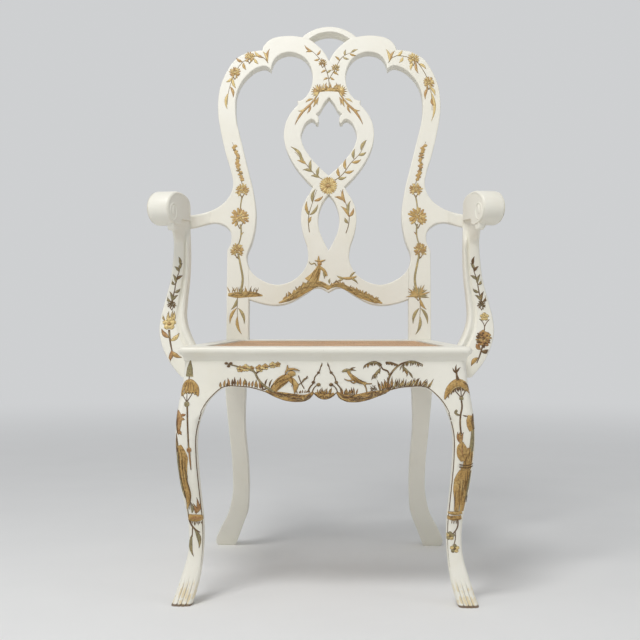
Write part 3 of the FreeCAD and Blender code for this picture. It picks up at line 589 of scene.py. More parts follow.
SPUR = [WAIST[1], (36.2, 997.8), (42.7, 978), (49.6, 967.2), (59.8, 959.4), (67.6, 958.8)]
HEART_OUTER = [(65.9, 950), (80, 934), (90, 916.4), (95.9, 888), (93.4, 864), (79.6, 829.4), (55.4, 795),
               (33, 772)]
LOWER_OUTER = [(33, 772), (39, 760.7), (49.4, 743.6), (56, 726.6), (58.4, 705), (54.8, 675.7), (44.7, 642),
               (42.7, SPLAT_JOINT)]
HEART_TOP = [(0, 965.8), (11, 951.5), (20.4, 935), (27.4, 929)]
HEART_CURL = [(27.4, 929), (22.8, 923), (21.6, 915), (23.2, 909)]
HEART_HOOK = [(23.2, 909), (27.2, 909.2), (30.5, 914.5), (38, 918)]
HEART_SIDE = [(38, 918), (47.5, 911.5), (55, 898), (59.4, 881), (55.8, 864), (34, 829.4), (17.8, 812),
              (0, 796)]
OVAL = [(0, 755.4), (9.8, 743.6), (17.7, 726.6), (22.4, 701), (18.6, 675.7), (11.5, 658.8), (0, 636.6)]


def splat_shape():
    """Outline of the splat with its two openings, carried back through its thickness."""
    soft, joint = edges(wood().edge_round)
    fine = rounded(CURL_ROUND)
    half = [SPUR, [SPUR[-1], HEART_OUTER[0]], HEART_OUTER, LOWER_OUTER]
    outer = ring([(run, soft) for run in half] + [(flip(run), soft) for run in reversed(half)], joint)
    heart = [(HEART_TOP, soft), (HEART_CURL, fine), (HEART_HOOK, fine), (HEART_SIDE, soft)]
    hole = heart + [(flip(run), profile) for run, profile in reversed(heart)]
    return slab([outer, hole, [(OVAL, soft), (flip(OVAL), soft)]], on_back, spacing=FINE, grid=BACK_GRID)


RAIL_OVER = [(42.7, SPLAT_JOINT), (43.3, 616.6), (49.2, 600), (62.6, 583), (74, 574.7), (108.7, 565),
             (140, 574.7), (152.8, 583), (160.8, 591), (POST_INNER, 600)]
RAIL_UNDER = [(POST_INNER, 534.5), (142.8, 526.6), (113.8, 521.8), (87, 525.3), (65.3, 535.4), (45, 548),
              (29.2, 558), (16.8, 558), (6.6, 553), (0, 549)]


def lower_rail_shape():
    """Outline of the lower rail, carried back through its thickness."""
    soft, joint = edges(wood().edge_round)
    runs = [(run, soft) for run in (RAIL_UNDER, flip(RAIL_UNDER), flip(RAIL_OVER), RAIL_OVER)]
    return slab([ring(runs, joint)], on_back, grid=BACK_GRID)


# Arms and stumps

ARM_INNER = [(282.5, 60), (254, 162), (266, 210), (281, 280), (290, 350), (292, 408), (286, 433), (272, 446),
             (WING_END, 450)]
ARM_OUTER = [(321, 71), (292, 174), (303, 240), (313, 305), (320, 375), (320, 428), (309, 460), (284, 476),
             (WING_END, 481)]
ARM_WALLS = np.array([ARM_INNER, ARM_OUTER], float)
ARM_ALONG = lengths(ARM_WALLS.mean(axis=0))
ARM_LENGTH = ARM_ALONG[-1]
ARM_SEAT = 679
SCROLL_RADIUS = 31
SCROLL_HEIGHT = 697.4
LIP_TURN = math.radians(-70)
LIP_SHARE = 0.32
LIP_TUCK = 0.5
SCROLL_EYE = (17, 691)
EYE_RADII = (9.5, 14.5)
RIM_INSIDE = 3
RIM_TURN, EYE_TURN = (62, 292), (250, -95)


def on_arm(along, height, share, distance):
    """Between the inner and outer walls of the arm, whose plan bends; distance is measured across it."""
    inner, outer = (through(ARM_ALONG, wall, along) for wall in ARM_WALLS)
    across = outer - inner
    unit = across / np.linalg.norm(across, axis=1, keepdims=True)
    plan = inner + across * share[:, None] + unit * distance[:, None]
    return spots(-plan[:, 0], plan[:, 1], height)


ARM_ROUND = 3.6
END_ROUND = 0.8
ROLL_POINTS = 24
LIP_ROUND = 1.4
ARM_TOP = [(46, 727.6), (62, 725.2), (78, 722), (94, 717), (110, 711), (130, 706.5), (160, 705), (220, 705),
           (320, 707), (370, 709), (400, 711.5), (423, 715.5), (ARM_LENGTH, 720.5)]
ARM_UNDER = [(46, ARM_SEAT), (116, ARM_SEAT), (220, 679.5), (320, 680), (370, 681), (400, 683), (423, 688.5),
             (ARM_LENGTH, 694)]
LIP = [(17.5, 671), (17.6, 664), (18.6, 660.4), (20.5, 658.4), (24, 657.6), (27.5, 658.4), (29.5, 660.4),
       (30.5, 664), (30.6, 670)]


def arm_shape():
    """Side view of the arm, with its rolled end, carried across between the two walls."""
    soft, tight = rounded(ARM_ROUND), rounded(END_ROUND)
    roll = [(SCROLL_RADIUS * (1 + math.cos(angle)), SCROLL_HEIGHT + SCROLL_RADIUS * math.sin(angle))
            for angle in np.linspace(math.pi / 2, 2 * math.pi + LIP_TURN, ROLL_POINTS)]
    top = [roll[0]] + ARM_TOP
    runs = [(roll, soft), ([roll[-1], ARM_UNDER[0]], tight), (ARM_UNDER[:2], tight), (ARM_UNDER[1:], soft),
            (top[::-1], soft)]
    return slab([ring(runs, plain(soft))], on_arm, spacing=FINE, grid=SMALL_GRID)


def lip_shape():
    """Small rounded end of the scroll, which hangs below the roll on its inner side."""
    soft = rounded(LIP_ROUND)

    def on_lip(along, height, share, distance):
        return on_arm(along, height, share * LIP_SHARE, distance + LIP_TUCK * (1 - share))

    return slab([ring([(LIP, soft)], plain(soft))], on_lip, spacing=FINEST)


STUMP_OUTER = graph([(281.5, ARM_SEAT), (281, 643), (284, 606), (289.5, 569), (299.5, 532), (308.4, 495),
                     (309.6, 473), (304.7, 450), (290, 419), (266, 390)])
STUMP_INNER = graph([(254, ARM_SEAT), (253, 643), (253.3, 606), (256, 569), (260.5, 532), (261.7, 495),
                     (256, 473), (246, 452), (239, 440), (236, 415), (234, 390)])
STUMP_FRONT = graph([(128, ARM_SEAT), (133, 640), (144, 570), (146, 520), (134, 455), (118, 390)])
STUMP_REAR = graph([(164, ARM_SEAT), (168, 640), (180, 570), (184, 520), (176, 455), (160, 390)])
STUMP_BAND = graph([(1, ARM_SEAT), (1, 620), (1.3, 540), (1.7, 480), (1.7, 390)])
BAND_POINTS = 9
SCROLL_SLOPE = (ARM_INNER[1][1] - ARM_INNER[0][1]) / (ARM_INNER[0][0] - ARM_INNER[1][0])
JOINT_LINE = 1.2
FLARE_FRONT = 92
STUMP_FOOT = 390
STUMP_HEAD = ARM_SEAT + 0.5
STUMP_ROWS = 110
HEAD_TURN = (632, ARM_SEAT - 5)
HOLLOW_FADE = (655, ARM_SEAT - 3)
HOLLOW_FROM = 5
LEAST_DEPTH = 5
CORNER_ROUND = 3.6
# Section of the stump: share from inner to outer wall, share from front to rear, shifts outwards and back
STUMP_SECTION = np.array([
    (0, 0, 0, 4.5), (0, 0, 0.9, 1.6), (0, 0, 3.2, 0), (0, 0, 5.6, 1.2), (0, 0, 6.8, 3.6), (0, 0, 8.6, 4.2),
    (0, 0, 10.2, 2.6), (0, 0, 10.6, 0.4), (0, 0, 11.6, 0), (1, 0, -4.5, 0), (1, 0, -1.4, 1.4),
    (1, 0, 0, 4.5), (1, 1, 0, -6), (1, 1, -1.8, -1.8), (1, 1, -6, 0), (0, 1, 6, 0), (0, 1, 1.8, -1.8),
    (0, 1, 0, -6)])


def stump_shape():
    """The moulded section carried up between four curved sides; its head turns in line with the scroll."""
    heights = np.linspace(STUMP_FOOT, STUMP_HEAD, STUMP_ROWS)[:, None]
    across, back, out, rear = STUMP_SECTION.T
    inner, outer = STUMP_INNER(heights), STUMP_OUTER(heights)
    front, behind = STUMP_FRONT(heights), STUMP_REAR(heights)
    band = np.where(np.arange(len(out)) < BAND_POINTS, STUMP_BAND(heights), 1)
    x = inner + (outer - inner) * across + out * band
    hollow = (rear > 0) & (np.arange(len(out)) < BAND_POINTS - 1) & (out > HOLLOW_FROM)
    fade = np.where(hollow, 1 - ease(heights, *HOLLOW_FADE), 1)
    y = front + (behind - front) * back + rear * fade
    wall = np.maximum(ARM_INNER[0][1] + (ARM_INNER[0][0] - x) * SCROLL_SLOPE, FLARE_FRONT)
    flush = wall + JOINT_LINE + rear * fade
    turned = np.where(back == 0, ease(heights, *HEAD_TURN), 0)
    y = y + (np.minimum(flush, behind - LEAST_DEPTH) - y) * turned
    return loft(np.stack([-x, SEAT_FRONT + y, np.broadcast_to(heights, x.shape)], axis=-1))


def on_stump(across, height, share, distance):
    """Front of the stump, for its ornament, which stops short of the rounded corners."""
    inner, outer = STUMP_INNER(height), STUMP_OUTER(height) - CORNER_ROUND
    across = np.sign(across) * np.clip(np.abs(across), inner, outer)
    return spots(across, STUMP_FRONT(height) + distance, height)


# Front legs and rails

# On the leg's middle line, half width and depth add up to this.
LEG_DIAGONAL = 256
# Rows of height, outer half width and inner half width
LEG_SECTIONS = np.array([
    (0, 267.6, 231.6), (20, 260.5, 225), (45, 252.5, 219), (80, 242.5, 214.5), (115, 239.4, 212.6),
    (150, 241.9, 213.5), (195, 250.6, 217.6), (240, 257, 221), (287, 261, 222.6), (317, 260, 219),
    (351, 256, 207), (385, 250, 200), (UNDER_FRAME, 246, 200)])
LEG_AROUND = 192
TOE_ROWS, LEG_ROWS = 41, 80
ROUND_SQUARE = 3.4
BEHIND_RAILS = 30
RAILS_FROM = (322, 352)
TOE_TURNS = (155, 181, 205, 245, 269, 295)
TOE_TOP = 60
GROOVE_WIDE = 3
GROOVE_DEEP = 1.6
GROOVE_FADE = (30, 56)
GILT_FADE = (12, 58)
# Heights over which the painted shadow along the sole fades out
SOLE_SHADOW = (2, 5.5)
LEG_EDGE = 0.985


def leg_walls(height):
    """Outer and inner half width of the front leg at a height."""
    walls = through(LEG_SECTIONS[:, 0], LEG_SECTIONS[:, 1:], np.asarray(height, float))
    return walls[..., 0], walls[..., 1]


def leg_power(height):
    """Power of the rounded square where a rail meets the leg; it is nearly square behind the rails."""
    return ROUND_SQUARE + BEHIND_RAILS * ease(height, *RAILS_FROM)


def front_leg_shape():
    """Rounded square on the leg's diagonal, carried up a row of heights; thin grooves part the toes."""
    foot, rest = np.linspace(0, TOE_TOP, TOE_ROWS), np.linspace(TOE_TOP + 4, UNDER_FRAME, LEG_ROWS)
    heights = np.concatenate([foot, rest])
    outer, inner = (wall[:, None] for wall in leg_walls(heights))
    half = (outer - inner) / 2
    turn = full_turn(LEG_AROUND)
    railed = np.cos(turn) * np.sin(turn) < 0
    power = np.where(railed, leg_power(heights)[:, None], ROUND_SQUARE)
    unit = (np.abs(np.cos(turn)) ** power + np.abs(np.sin(turn)) ** power) ** (-1 / power)
    groove = np.zeros_like(turn)
    for toe in TOE_TURNS:
        away = (np.degrees(turn) - toe + 180) % 360 - 180
        groove = groove + np.exp(-(away / GROOVE_WIDE) ** 2)
    depth = (1 - ease(heights, *GROOVE_FADE))[:, None] * groove
    radius = half * unit - GROOVE_DEEP * depth
    x = -(outer + inner) / 2 + radius * np.cos(turn)
    y = LEG_DIAGONAL - (outer + inner) / 2 + radius * np.sin(turn)
    z = np.broadcast_to(heights[:, None], x.shape)
    streak = 0.5 + 0.3 * np.cos(18 * turn) + 0.2 * np.cos(31 * turn + 1)
    gilt = (1 - ease(heights, *GILT_FADE))[:, None] * streak
    # Painted shade: the groove mark darkens the toe grooves and paints a shadow along the sole
    dark = np.clip(0.5 * depth + (1 - ease(heights, *SOLE_SHADOW))[:, None], 0, 1)
    return loft(np.stack([x, SEAT_FRONT + y, z], axis=-1), {"gilt": gilt, "groove": dark})


def on_leg(across, height, share, distance):
    """Front of a front leg at a place across and a height, for its ornament."""
    outer, inner = leg_walls(height)
    half, middle = (outer - inner) / 2, (outer + inner) / 2
    away = np.abs(across) - middle
    off = np.clip(np.abs(away) / half, 0, LEG_EDGE)
    power = np.where(away < 0, leg_power(height), ROUND_SQUARE)
    depth = LEG_DIAGONAL - middle - half * (1 - off ** power) ** (1 / power)
    edge = np.sign(across) * (middle + np.clip(away, -LEG_EDGE * half, LEG_EDGE * half))
    return spots(edge, depth + distance, height)


FRONT_RAIL_FACE = 10.0
RAIL_THICK = 24.0
LEG_BLOCK = 200
LET_IN = 7
EDGE_LINE = 1.6
APRON_DROP = [(0, 358.5), (12, 361), (20, 368.6)]
APRON_LOBE = [(20, 368.6), (25, 359.5), (33, 355.5), (47, 354.3), (68.7, 357.5), (89, 364.5), (107, 371),
              (130, 377.5), (150, 379.5), (175, 379)]
EAR = [(175, 379), (193.5, 365.4), (205.8, 351), (214.4, 334.7)]
EAR_END = 222
APRON_SWELL = (165, 202)
APRON_SINK = 0.3
SINK_RUN = 20


def knee_swell(height):
    """How far the leg stands out beyond its width at the seat frame."""
    return leg_walls(height)[0] - leg_walls(UNDER_FRAME)[0]


def on_apron(across, height, share, distance):
    """Flat in the middle; towards the legs the face swells forward until it is level with them."""
    half = np.abs(across)
    sink = APRON_SINK * ease(half, LEG_BLOCK, LEG_BLOCK + SINK_RUN)
    swell = knee_swell(height) * ease(half, *APRON_SWELL) - sink
    depth = FRONT_RAIL_FACE + share * RAIL_THICK + distance - swell * (1 - share)
    return spots(across, depth, height)


def apron_shape():
    """Outline of the apron with its scalloped lower edge, carried back through its thickness."""
    soft, joint = edges(wood().rail_round)
    end = LEG_BLOCK + LET_IN
    side = [(end, APRON_LOBE[-1][1]), (end, UNDER_FRAME)]
    runs = [(flip(APRON_DROP)[:-1] + APRON_DROP, soft), (APRON_LOBE, soft), (side, joint),
            (flip(side), joint), (flip(APRON_LOBE), soft)]
    return slab([ring(runs, joint)], on_apron, grid=SMALL_GRID)


def ear_shapes():
    """The two knee brackets: one under the apron's end, one under the front of the side rail."""
    soft, joint = edges(wood().rail_round)
    runs = ring([(EAR, soft), ([(EAR_END, EAR[-1][1]), (EAR_END, EAR[0][1])], joint)], joint)
    turned = [([(LEG_DIAGONAL - a, b) for a, b in points], profile) for points, profile in runs]
    return slab([leftward(runs)], on_apron, grid=EAR_GRID), slab([turned], on_side, grid=EAR_GRID)


SIDE_OUT = [(241, 56), (209, 422.5)]
SIDE_DROP = 46
SIDE_DIP = 12
SIDE_SWELL = 50
REAR_RAIL_FACE = 430.0


def on_side(depth, height, share, distance):
    """Outside of the splayed side rail, which swells out towards the front leg until it is level with it."""
    (wide, near), (narrow, far) = SIDE_OUT
    wall = wide + (narrow - wide) * (depth - near) / (far - near)
    outer = leg_walls(height)[0]
    wall = wall + (outer - wall) * (1 - ease(depth, near, near + SIDE_SWELL)) * (1 - share)
    return spots(-wall + share * RAIL_THICK + distance, depth, height)


def side_rail_shape():
    """Splayed rail: its side view carried through the thickness, square to the splay."""
    soft, joint = edges(wood().rail_round)
    low = UNDER_FRAME - SIDE_DROP
    start, end = SIDE_OUT[0][1] - LET_IN, SIDE_OUT[1][1]
    under = [(start, low), (110, low), (170, low - SIDE_DIP / 2), (239, low - SIDE_DIP),
             (308, low - SIDE_DIP / 2), (368, low), (end, low)]
    runs = [(under[::-1], soft), ([(start, UNDER_FRAME), (end, UNDER_FRAME)], joint)]
    return slab([ring(runs, joint)], on_side, spacing=COARSE, grid=RAIL_GRID)


def rear_rail_shape():
    """A plain board between the posts, softened along its lower edge."""
    soft, joint = edges(wood().rail_round)
    low = UNDER_FRAME - SIDE_DROP
    end = POST_INNER + LET_IN
    runs = [([(-end, low), (end, low)], soft), ([(end, UNDER_FRAME), (-end, UNDER_FRAME)], joint)]

    def on_rear(across, height, share, distance):
        return spots(across, REAR_RAIL_FACE + share * RAIL_THICK + distance, height)

    return slab([ring(runs, joint)], on_rear, spacing=COARSE)


# Seat frame

FRAME_THICK = SEAT - UNDER_FRAME
FRAME_HALF = (256, 219)
FRAME_DEEP = 423
FRONT_WIDTH = 50
SIDE_WIDTH = 44
REAR_START = 411
REAR_END = 462
FRAME_CORNER = 9
CORNER_POINTS = 7
POST_GAP = 0.5
STEP_DEPTH = 5
# A half round nose over a hollow, cut by lines of inset and depth below the top.
NOSE_AND_HOLLOW = np.array([
    (12, 0), (7, 0), (4.2, 0.4), (2, 1.7), (0.5, 4), (0, 6.8), (0.5, 9.4), (1.8, 11.6), (3.8, 13.2),
    (5.8, 14.4), (7.2, 16), (8.2, 18.2), (9, 20.6), (9.8, 23), (10.6, 25)])
CANE_STEP = np.array([(9.4, 0), (8.6, 0), (8.2, 0.2), (8, 0.6), (8, 2), (8, STEP_DEPTH), (7.9, STEP_DEPTH),
                      (4, STEP_DEPTH), (0.4, STEP_DEPTH), (0, 4.5), (0, 8), (0, 12), (0, 18), (0, 24),
                      (0.8, 25)])


def on_seat(across, depth, share, distance):
    """Below the level top of the seat frame by a share of its thickness and a distance."""
    return spots(across, depth, SEAT - share * FRAME_THICK - distance)


def frame_edge(depth, less=0.0):
    """Half width of the seat frame at a depth, less a distance."""
    front, rear = FRAME_HALF
    return front + (rear - front) * depth / FRAME_DEEP - less


def frame_shapes():
    """Front, left and rear members; each outline has the nose on its outside and the step on its inside."""
    nose, step = (np.insert(rows, 1, 0, axis=1) for rows in (NOSE_AND_HOLLOW, CANE_STEP))
    joint = nose * (0, 1, 1)
    half, inner = frame_edge(FRONT_WIDTH), frame_edge(FRONT_WIDTH, SIDE_WIDTH)
    rear, inner_rear = frame_edge(REAR_START, SIDE_WIDTH), frame_edge(FRAME_DEEP, SIDE_WIDTH)
    straight, post = FRAME_HALF[0] - FRAME_CORNER, POST_INNER - POST_GAP
    bend = [(straight + FRAME_CORNER * math.sin(turn), FRAME_CORNER - FRAME_CORNER * math.cos(turn))
            for turn in np.linspace(0, math.pi / 2, CORNER_POINTS)]
    left_rear = (-frame_edge(FRAME_DEEP), FRAME_DEEP)
    front_runs = [(flip(bend), nose), ([(-straight, 0), (straight, 0)], nose), (bend, nose),
                  ([bend[-1], (half, FRONT_WIDTH)], nose),
                  ([(inner, FRONT_WIDTH), (-inner, FRONT_WIDTH)], step),
                  ([(-half, FRONT_WIDTH), flip(bend)[0]], nose)]
    left_runs = [([(-half, FRONT_WIDTH), (-inner, FRONT_WIDTH)], joint),
                 ([(-inner, FRONT_WIDTH), (-rear, REAR_START)], step),
                 ([(-inner_rear, FRAME_DEEP), left_rear], joint), ([left_rear, (-half, FRONT_WIDTH)], nose)]
    rear_runs = [([(-rear, REAR_START), (rear, REAR_START)], step),
                 ([(inner_rear, FRAME_DEEP), (post, FRAME_DEEP)], joint),
                 ([(post, REAR_END), (-post, REAR_END)], nose),
                 ([(-post, FRAME_DEEP), (-inner_rear, FRAME_DEEP)], joint)]
    return [slab([ring(runs, joint)], on_seat) for runs in (front_runs, left_runs, rear_runs)]


# Cane

CANE_LEVEL = SEAT - STEP_DEPTH + 0.4
CANE_THIN = 0.55
CANE_CROWN = 0.55
PAIR_GAP = 0.15
# Heights of the four layers above the cane's level, and how far their strands wave up and down
LAYERS = (0, 0.35, 0.8, 1.0)
PAIR_WAVE = 0.3
SLANT_WAVE = 0.2
SHORTEST_STRAND = 4
UNDER_SPLINE = 4.4
REED_INSIDE = 3.6
REED_HALF = (2.5, 1.2)
REED_LEVEL = 1.3
REED_AROUND = 12


def clipped(origin, direction):
    """Where lines that run one way enter and leave the trapezoid of the opening, as distances along them."""
    near, far = FRONT_WIDTH - UNDER_SPLINE, REAR_START + UNDER_SPLINE
    slope = (FRAME_HALF[1] - FRAME_HALF[0]) / FRAME_DEEP
    reach = FRAME_HALF[0] - SIDE_WIDTH + UNDER_SPLINE
    walls = np.array([(0, -1, -near), (0, 1, far), (1, -slope, reach), (-1, -slope, reach)], float)
    speed = direction @ walls[:, :2].T
    room = walls[:, 2] - origin @ walls[:, :2].T
    with np.errstate(divide="ignore", invalid="ignore"):
        hit = room / speed
    enter = np.where(speed < -TINY, hit, -np.inf).max(1)
    leave = np.where(speed > TINY, hit, np.inf).min(1)
    missed = ((np.abs(speed) <= TINY) & (room < 0)).any(1)
    return enter, np.where(missed, -np.inf, leave)


def strands(across, depth, direction, width, layer, wave, phase):
    """Flat ribbons along lines of the seat: a thin four-sided section at every half pitch, lifted and
    lowered in turn where it passes over and under the others."""
    step = weave().pitch / MM / 2
    origin = np.column_stack(np.broadcast_arrays(across, depth))
    ahead = np.array(direction, float)
    side = np.array([-ahead[1], ahead[0]]) * width / 2
    enter, leave = clipped(origin, ahead)
    shapes = []
    for start, low, high, turn in zip(origin, enter, leave, np.broadcast_to(phase, len(origin))):
        if high - low < SHORTEST_STRAND:
            continue
        knots = np.arange(math.ceil(low / step), high / step) * step
        along = np.unique(np.concatenate([[low, high], knots]))
        middle = start + along[:, None] * ahead
        height = CANE_LEVEL + layer + wave * np.cos(math.pi * (along / step + turn))
        rows = [np.column_stack([middle + side * sign, height + rise])
                for sign, rise in ((-1, 0), (-CANE_CROWN, CANE_THIN), (CANE_CROWN, CANE_THIN), (1, 0))]
        shapes.append(loft(np.stack(rows, axis=1) + (0, SEAT_FRONT, 0)))
    return shapes


def cane_shape():
    """Pairs of strands across and along, and single strands on both slants through the crossings."""
    pitch, wide, thin = (size / MM for size in (weave().pitch, weave().strand, weave().binder))
    count = int(2 * FRAME_HALF[0] / pitch) + 2
    lines = np.arange(-count, count + 1) * pitch
    apart = PAIR_GAP * pitch
    pairs = np.sort(np.concatenate([lines - apart, lines + apart]))
    turn = np.repeat(np.arange(len(lines)) % 2, 2)
    middle = (FRONT_WIDTH + REAR_START) / 2
    between = lines + pitch / 2
    slant = math.sqrt(0.5)
    return joined(strands(pairs, 0, (0, 1), wide, LAYERS[0], PAIR_WAVE, turn)
                  + strands(0, middle + pairs, (1, 0), wide, LAYERS[1], PAIR_WAVE, turn + 1)
                  + strands(between, middle, (slant, slant), thin, LAYERS[2], SLANT_WAVE, 0)
                  + strands(between, middle, (slant, -slant), thin, LAYERS[3], SLANT_WAVE, 1))


def spline_shape():
    """Reed round the edge of the cane: a low round section carried round the four sides."""
    near, far, side = FRONT_WIDTH - REED_INSIDE, REAR_START + REED_INSIDE, SIDE_WIDTH - REED_INSIDE
    corners = np.array([(sign * frame_edge(depth, side), depth)
                        for sign, depth in ((-1, near), (1, near), (1, far), (-1, far))])
    turn = full_turn(REED_AROUND)
    wide, high = REED_HALF
    band = np.stack([inset(corners, np.full(4, shift)) for shift in wide * np.cos(turn)], axis=1)
    height = np.broadcast_to(CANE_LEVEL + REED_LEVEL + high * np.sin(turn), band.shape[:2])
    points = np.concatenate([band, height[..., None]], axis=-1) + (0, SEAT_FRONT, 0)
    ids = np.arange(points.shape[0] * points.shape[1]).reshape(points.shape[:2])
    ahead, over = np.roll(ids, -1, axis=0), np.roll(ids, -1, axis=1)
    quads = np.stack([ids, ahead, np.roll(ahead, -1, axis=1), over], axis=-1).reshape(-1, 4)
    return Shape(points, [], quads).outward()


# Gilt ornament: strokes drawn on a chart and pressed onto the face that carries them

GOLD, STRAW, CLAY, SAGE, UMBER = range(5)
WARM = (GOLD, STRAW, GOLD, CLAY)
COOL = (SAGE, SAGE, GOLD)
EARTH = (GOLD, UMBER, GOLD, CLAY)
STROKE_ACROSS = np.array([-1, -0.6, 0, 0.6, 1, 0])
STROKE_RISE = np.array([-0.15, 0.75, 1, 0.75, -0.15, -0.9])
LEAF = (0.10, 0.6, 0.95, 1.0, 0.75, 0.4, 0.08)
PETAL = (0.3, 0.8, 1, 0.95, 0.55)
STEM = (1.0, 0.9, 0.75, 0.5)
MOUND = (0.3, 0.85, 1, 1, 0.85, 0.3)
BOSS = (0.4, 0.8, 1, 1, 0.8, 0.4)
EVEN = (1, 1)
FINE_LINE = 1.6
ON_TOP = 4.2
# Random part of a stroke's height, width from which it has its full height, and least share of it
UNEVEN = 0.3
FULL_RISE = 2.2
LEAST_RISE = 0.45
LEAF_BEND = 0.12
# Flower heads: radius of a full one, rings of share of the radius and petals; the outer are open at the foot
FULL_HEAD = 13
HEAD_RINGS = ((1.0, 16), (0.76, 12), (0.5, 8), (0.24, 4))
PETAL_LOSS = 0.22
OUTER_RINGS = 0.6
OPEN_FOOT = 20
DOWN = 270
# Banks: points along them, those where lines start, and the points of one line
BANK_POINTS = 80
HATCH_START, HATCH_SPAN = 3, 66
HATCH = np.array([0, 4, 9])
# Folds: points along a garment and in one fold, reach to each side and wander as shares of the width
FOLD_POINTS, FOLD_LENGTH = 7, 5
FOLD_REACH, FOLD_WANDER = 0.38, 0.16


def heading(angle):
    """Unit vector at an angle in degrees."""
    turn = math.radians(angle)
    return np.array([math.cos(turn), math.sin(turn)])


def beside(path):
    """Unit vectors to the left of a path."""
    ahead = np.gradient(path, axis=0)
    ahead = ahead / np.maximum(np.linalg.norm(ahead, axis=1, keepdims=True), TINY)
    return np.stack([-ahead[:, 1], ahead[:, 0]], axis=1)


class Brush:
    """Collects strokes on a chart of millimetres; seeded, so a drawing is the same every time."""

    def __init__(self, seed):
        self.strokes = []
        self.chance = np.random.default_rng(seed)
        self.side = 1

    def pick(self, tints):
        """One of several hues, by chance."""
        return tints[int(self.chance.random() * len(tints))]

    def stroke(self, path, width, widths, tint, rise=1.0, count=8):
        """A low ridge along a curve, whose width swells and tapers through a row of shares."""
        middle = smooth(path, count) if len(path) > 2 else np.linspace(path[0], path[1], count)
        breadth = width * np.interp(np.linspace(0, 1, count), np.linspace(0, 1, len(widths)), widths)
        out = breadth[:, None] * STROKE_ACROSS / 2
        chart = middle[:, None] + beside(middle)[:, None] * out[:, :, None]
        lift = rise + UNEVEN * self.chance.random()
        swell = np.clip(breadth / FULL_RISE, LEAST_RISE, 1)[:, None] * STROKE_RISE * lift
        inside = breadth[:, None] / 2 * (1 - np.abs(STROKE_ACROSS))
        self.strokes.append((chart * (self.side, 1), swell, inside, tint))

    def line(self, path, rise=1.0, count=12, width=FINE_LINE):
        """A thin dark line of even width."""
        self.stroke(path, width, EVEN, UMBER, rise, count)

    def spot(self, at, width, height, tint, rise=2.0):
        """A low round boss."""
        x, z = at
        self.stroke([(x - width / 2, z), (x + width / 2, z)], height, BOSS, tint, rise)

    def blade(self, base, tip, width=6.0, tint=GOLD, bend=0.1, rise=1.0):
        """A pointed leaf from base to tip, whose middle is pushed sideways by a share of its length."""
        base, tip = np.asarray(base, float), np.asarray(tip, float)
        across = (tip - base)[::-1] * (-1, 1)
        self.stroke([base, (base + tip) / 2 + across * bend, tip], width, LEAF, tint, rise)

    def leaf(self, base, angle, length, width, tint=GOLD, rise=1.0):
        """A blade of a length at an angle, bent a little by chance."""
        tip = np.asarray(base, float) + length * heading(angle)
        self.blade(base, tip, width, tint, LEAF_BEND * (self.chance.random() - 0.5), rise)

    def blades(self, rows, width, tint):
        """Several leaves alike, each given by its base and tip in one row."""
        for row in rows:
            self.blade(row[:2], row[2:], width, tint)

    def sprig(self, stem, leaves, width=6.0, tints=WARM, thick=1.8):
        """A thin stem with leaves, each given by its base and tip in one row."""
        self.stroke(stem, thick, STEM, UMBER, 1, 16)
        for number, row in enumerate(leaves):
            bend = LEAF_BEND if number % 2 else -LEAF_BEND
            self.blade(row[:2], row[2:], width, self.pick(tints), bend, 1.3)

    def blooms(self, rows, tints=WARM):
        """Several flower heads, each given by its place and radius in one row."""
        for row in rows:
            self.bloom(row[:2], row[2], tints)

    def bloom(self, at, radius, tints=WARM):
        """A dense head of blunt petals in rings, open at the foot where two short stems carry it."""
        at = np.asarray(at, float)
        grow = min(1, radius / FULL_HEAD)
        for lean in (-1, 1):
            foot, head = at - (0, radius * 1.1), at + (lean * radius * 0.36, -radius * 0.4)
            self.stroke([foot, head], 2.2 * grow, EVEN, UMBER, 1, 5)
        self.spot(at, radius * 0.34, radius * 0.34, tints[0], 1.4)
        for share, petals in HEAD_RINGS:
            petals = max(4, round(petals * grow))
            for angle in (np.arange(petals) + 0.5 * self.chance.random(petals)) * 360 / petals + 90 * share:
                if share > OUTER_RINGS and abs(angle % 360 - DOWN) < OPEN_FOOT:
                    continue
                reach = radius * share * (1 - PETAL_LOSS * self.chance.random())
                out = heading(angle)
                petal = [at + out * reach * 0.42, at + out * reach]
                self.stroke(petal, radius * 0.27, PETAL, self.pick(tints), 1.9 - 0.7 * share, 6)

    def flower(self, at, radius, tints=(STRAW,), heart=GOLD):
        """An open flower of five round petals with a boss in the middle."""
        at = np.asarray(at, float)
        for angle in range(90, 450, 72):
            self.spot(at + 0.6 * radius * heading(angle), radius * 0.9, radius * 0.9, self.pick(tints), 1.2)
        self.spot(at, radius * 0.6, radius * 0.6, heart, 2.4)

    def grass(self, path, height, count, width=2.6, tints=EARTH, fan=46, lean=0):
        """Blades that stand on a line, or hang from it if the height is negative."""
        for base in smooth(path, count):
            angle = 90 + lean + (self.chance.random() - 0.5) * fan
            self.leaf(base, angle, height * (0.6 + 0.5 * self.chance.random()), width, self.pick(tints))

    def bank(self, path, width, hatch, widths=MOUND, tints=(UMBER, UMBER, CLAY, STRAW)):
        """A bank of earth: a broad stroke with short lines of other hues laid along it."""
        self.stroke(path, width, widths, GOLD, 0.8, 24)
        middle = smooth(path, BANK_POINTS)
        side = beside(middle)
        for start in (np.arange(hatch) + self.chance.random(hatch)) * HATCH_SPAN / hatch + HATCH_START:
            part = int(start) + HATCH
            room = width * np.interp(start / BANK_POINTS, np.linspace(0, 1, len(widths)), widths)
            shift = (self.chance.random(3) - 0.5) * room * 0.3 + (self.chance.random() - 0.5) * room * 0.6
            line = middle[part] + side[part] * shift[:, None]
            self.stroke(line, 2.2, (0.4, 1, 0.5), self.pick(tints), 2.2, 5)

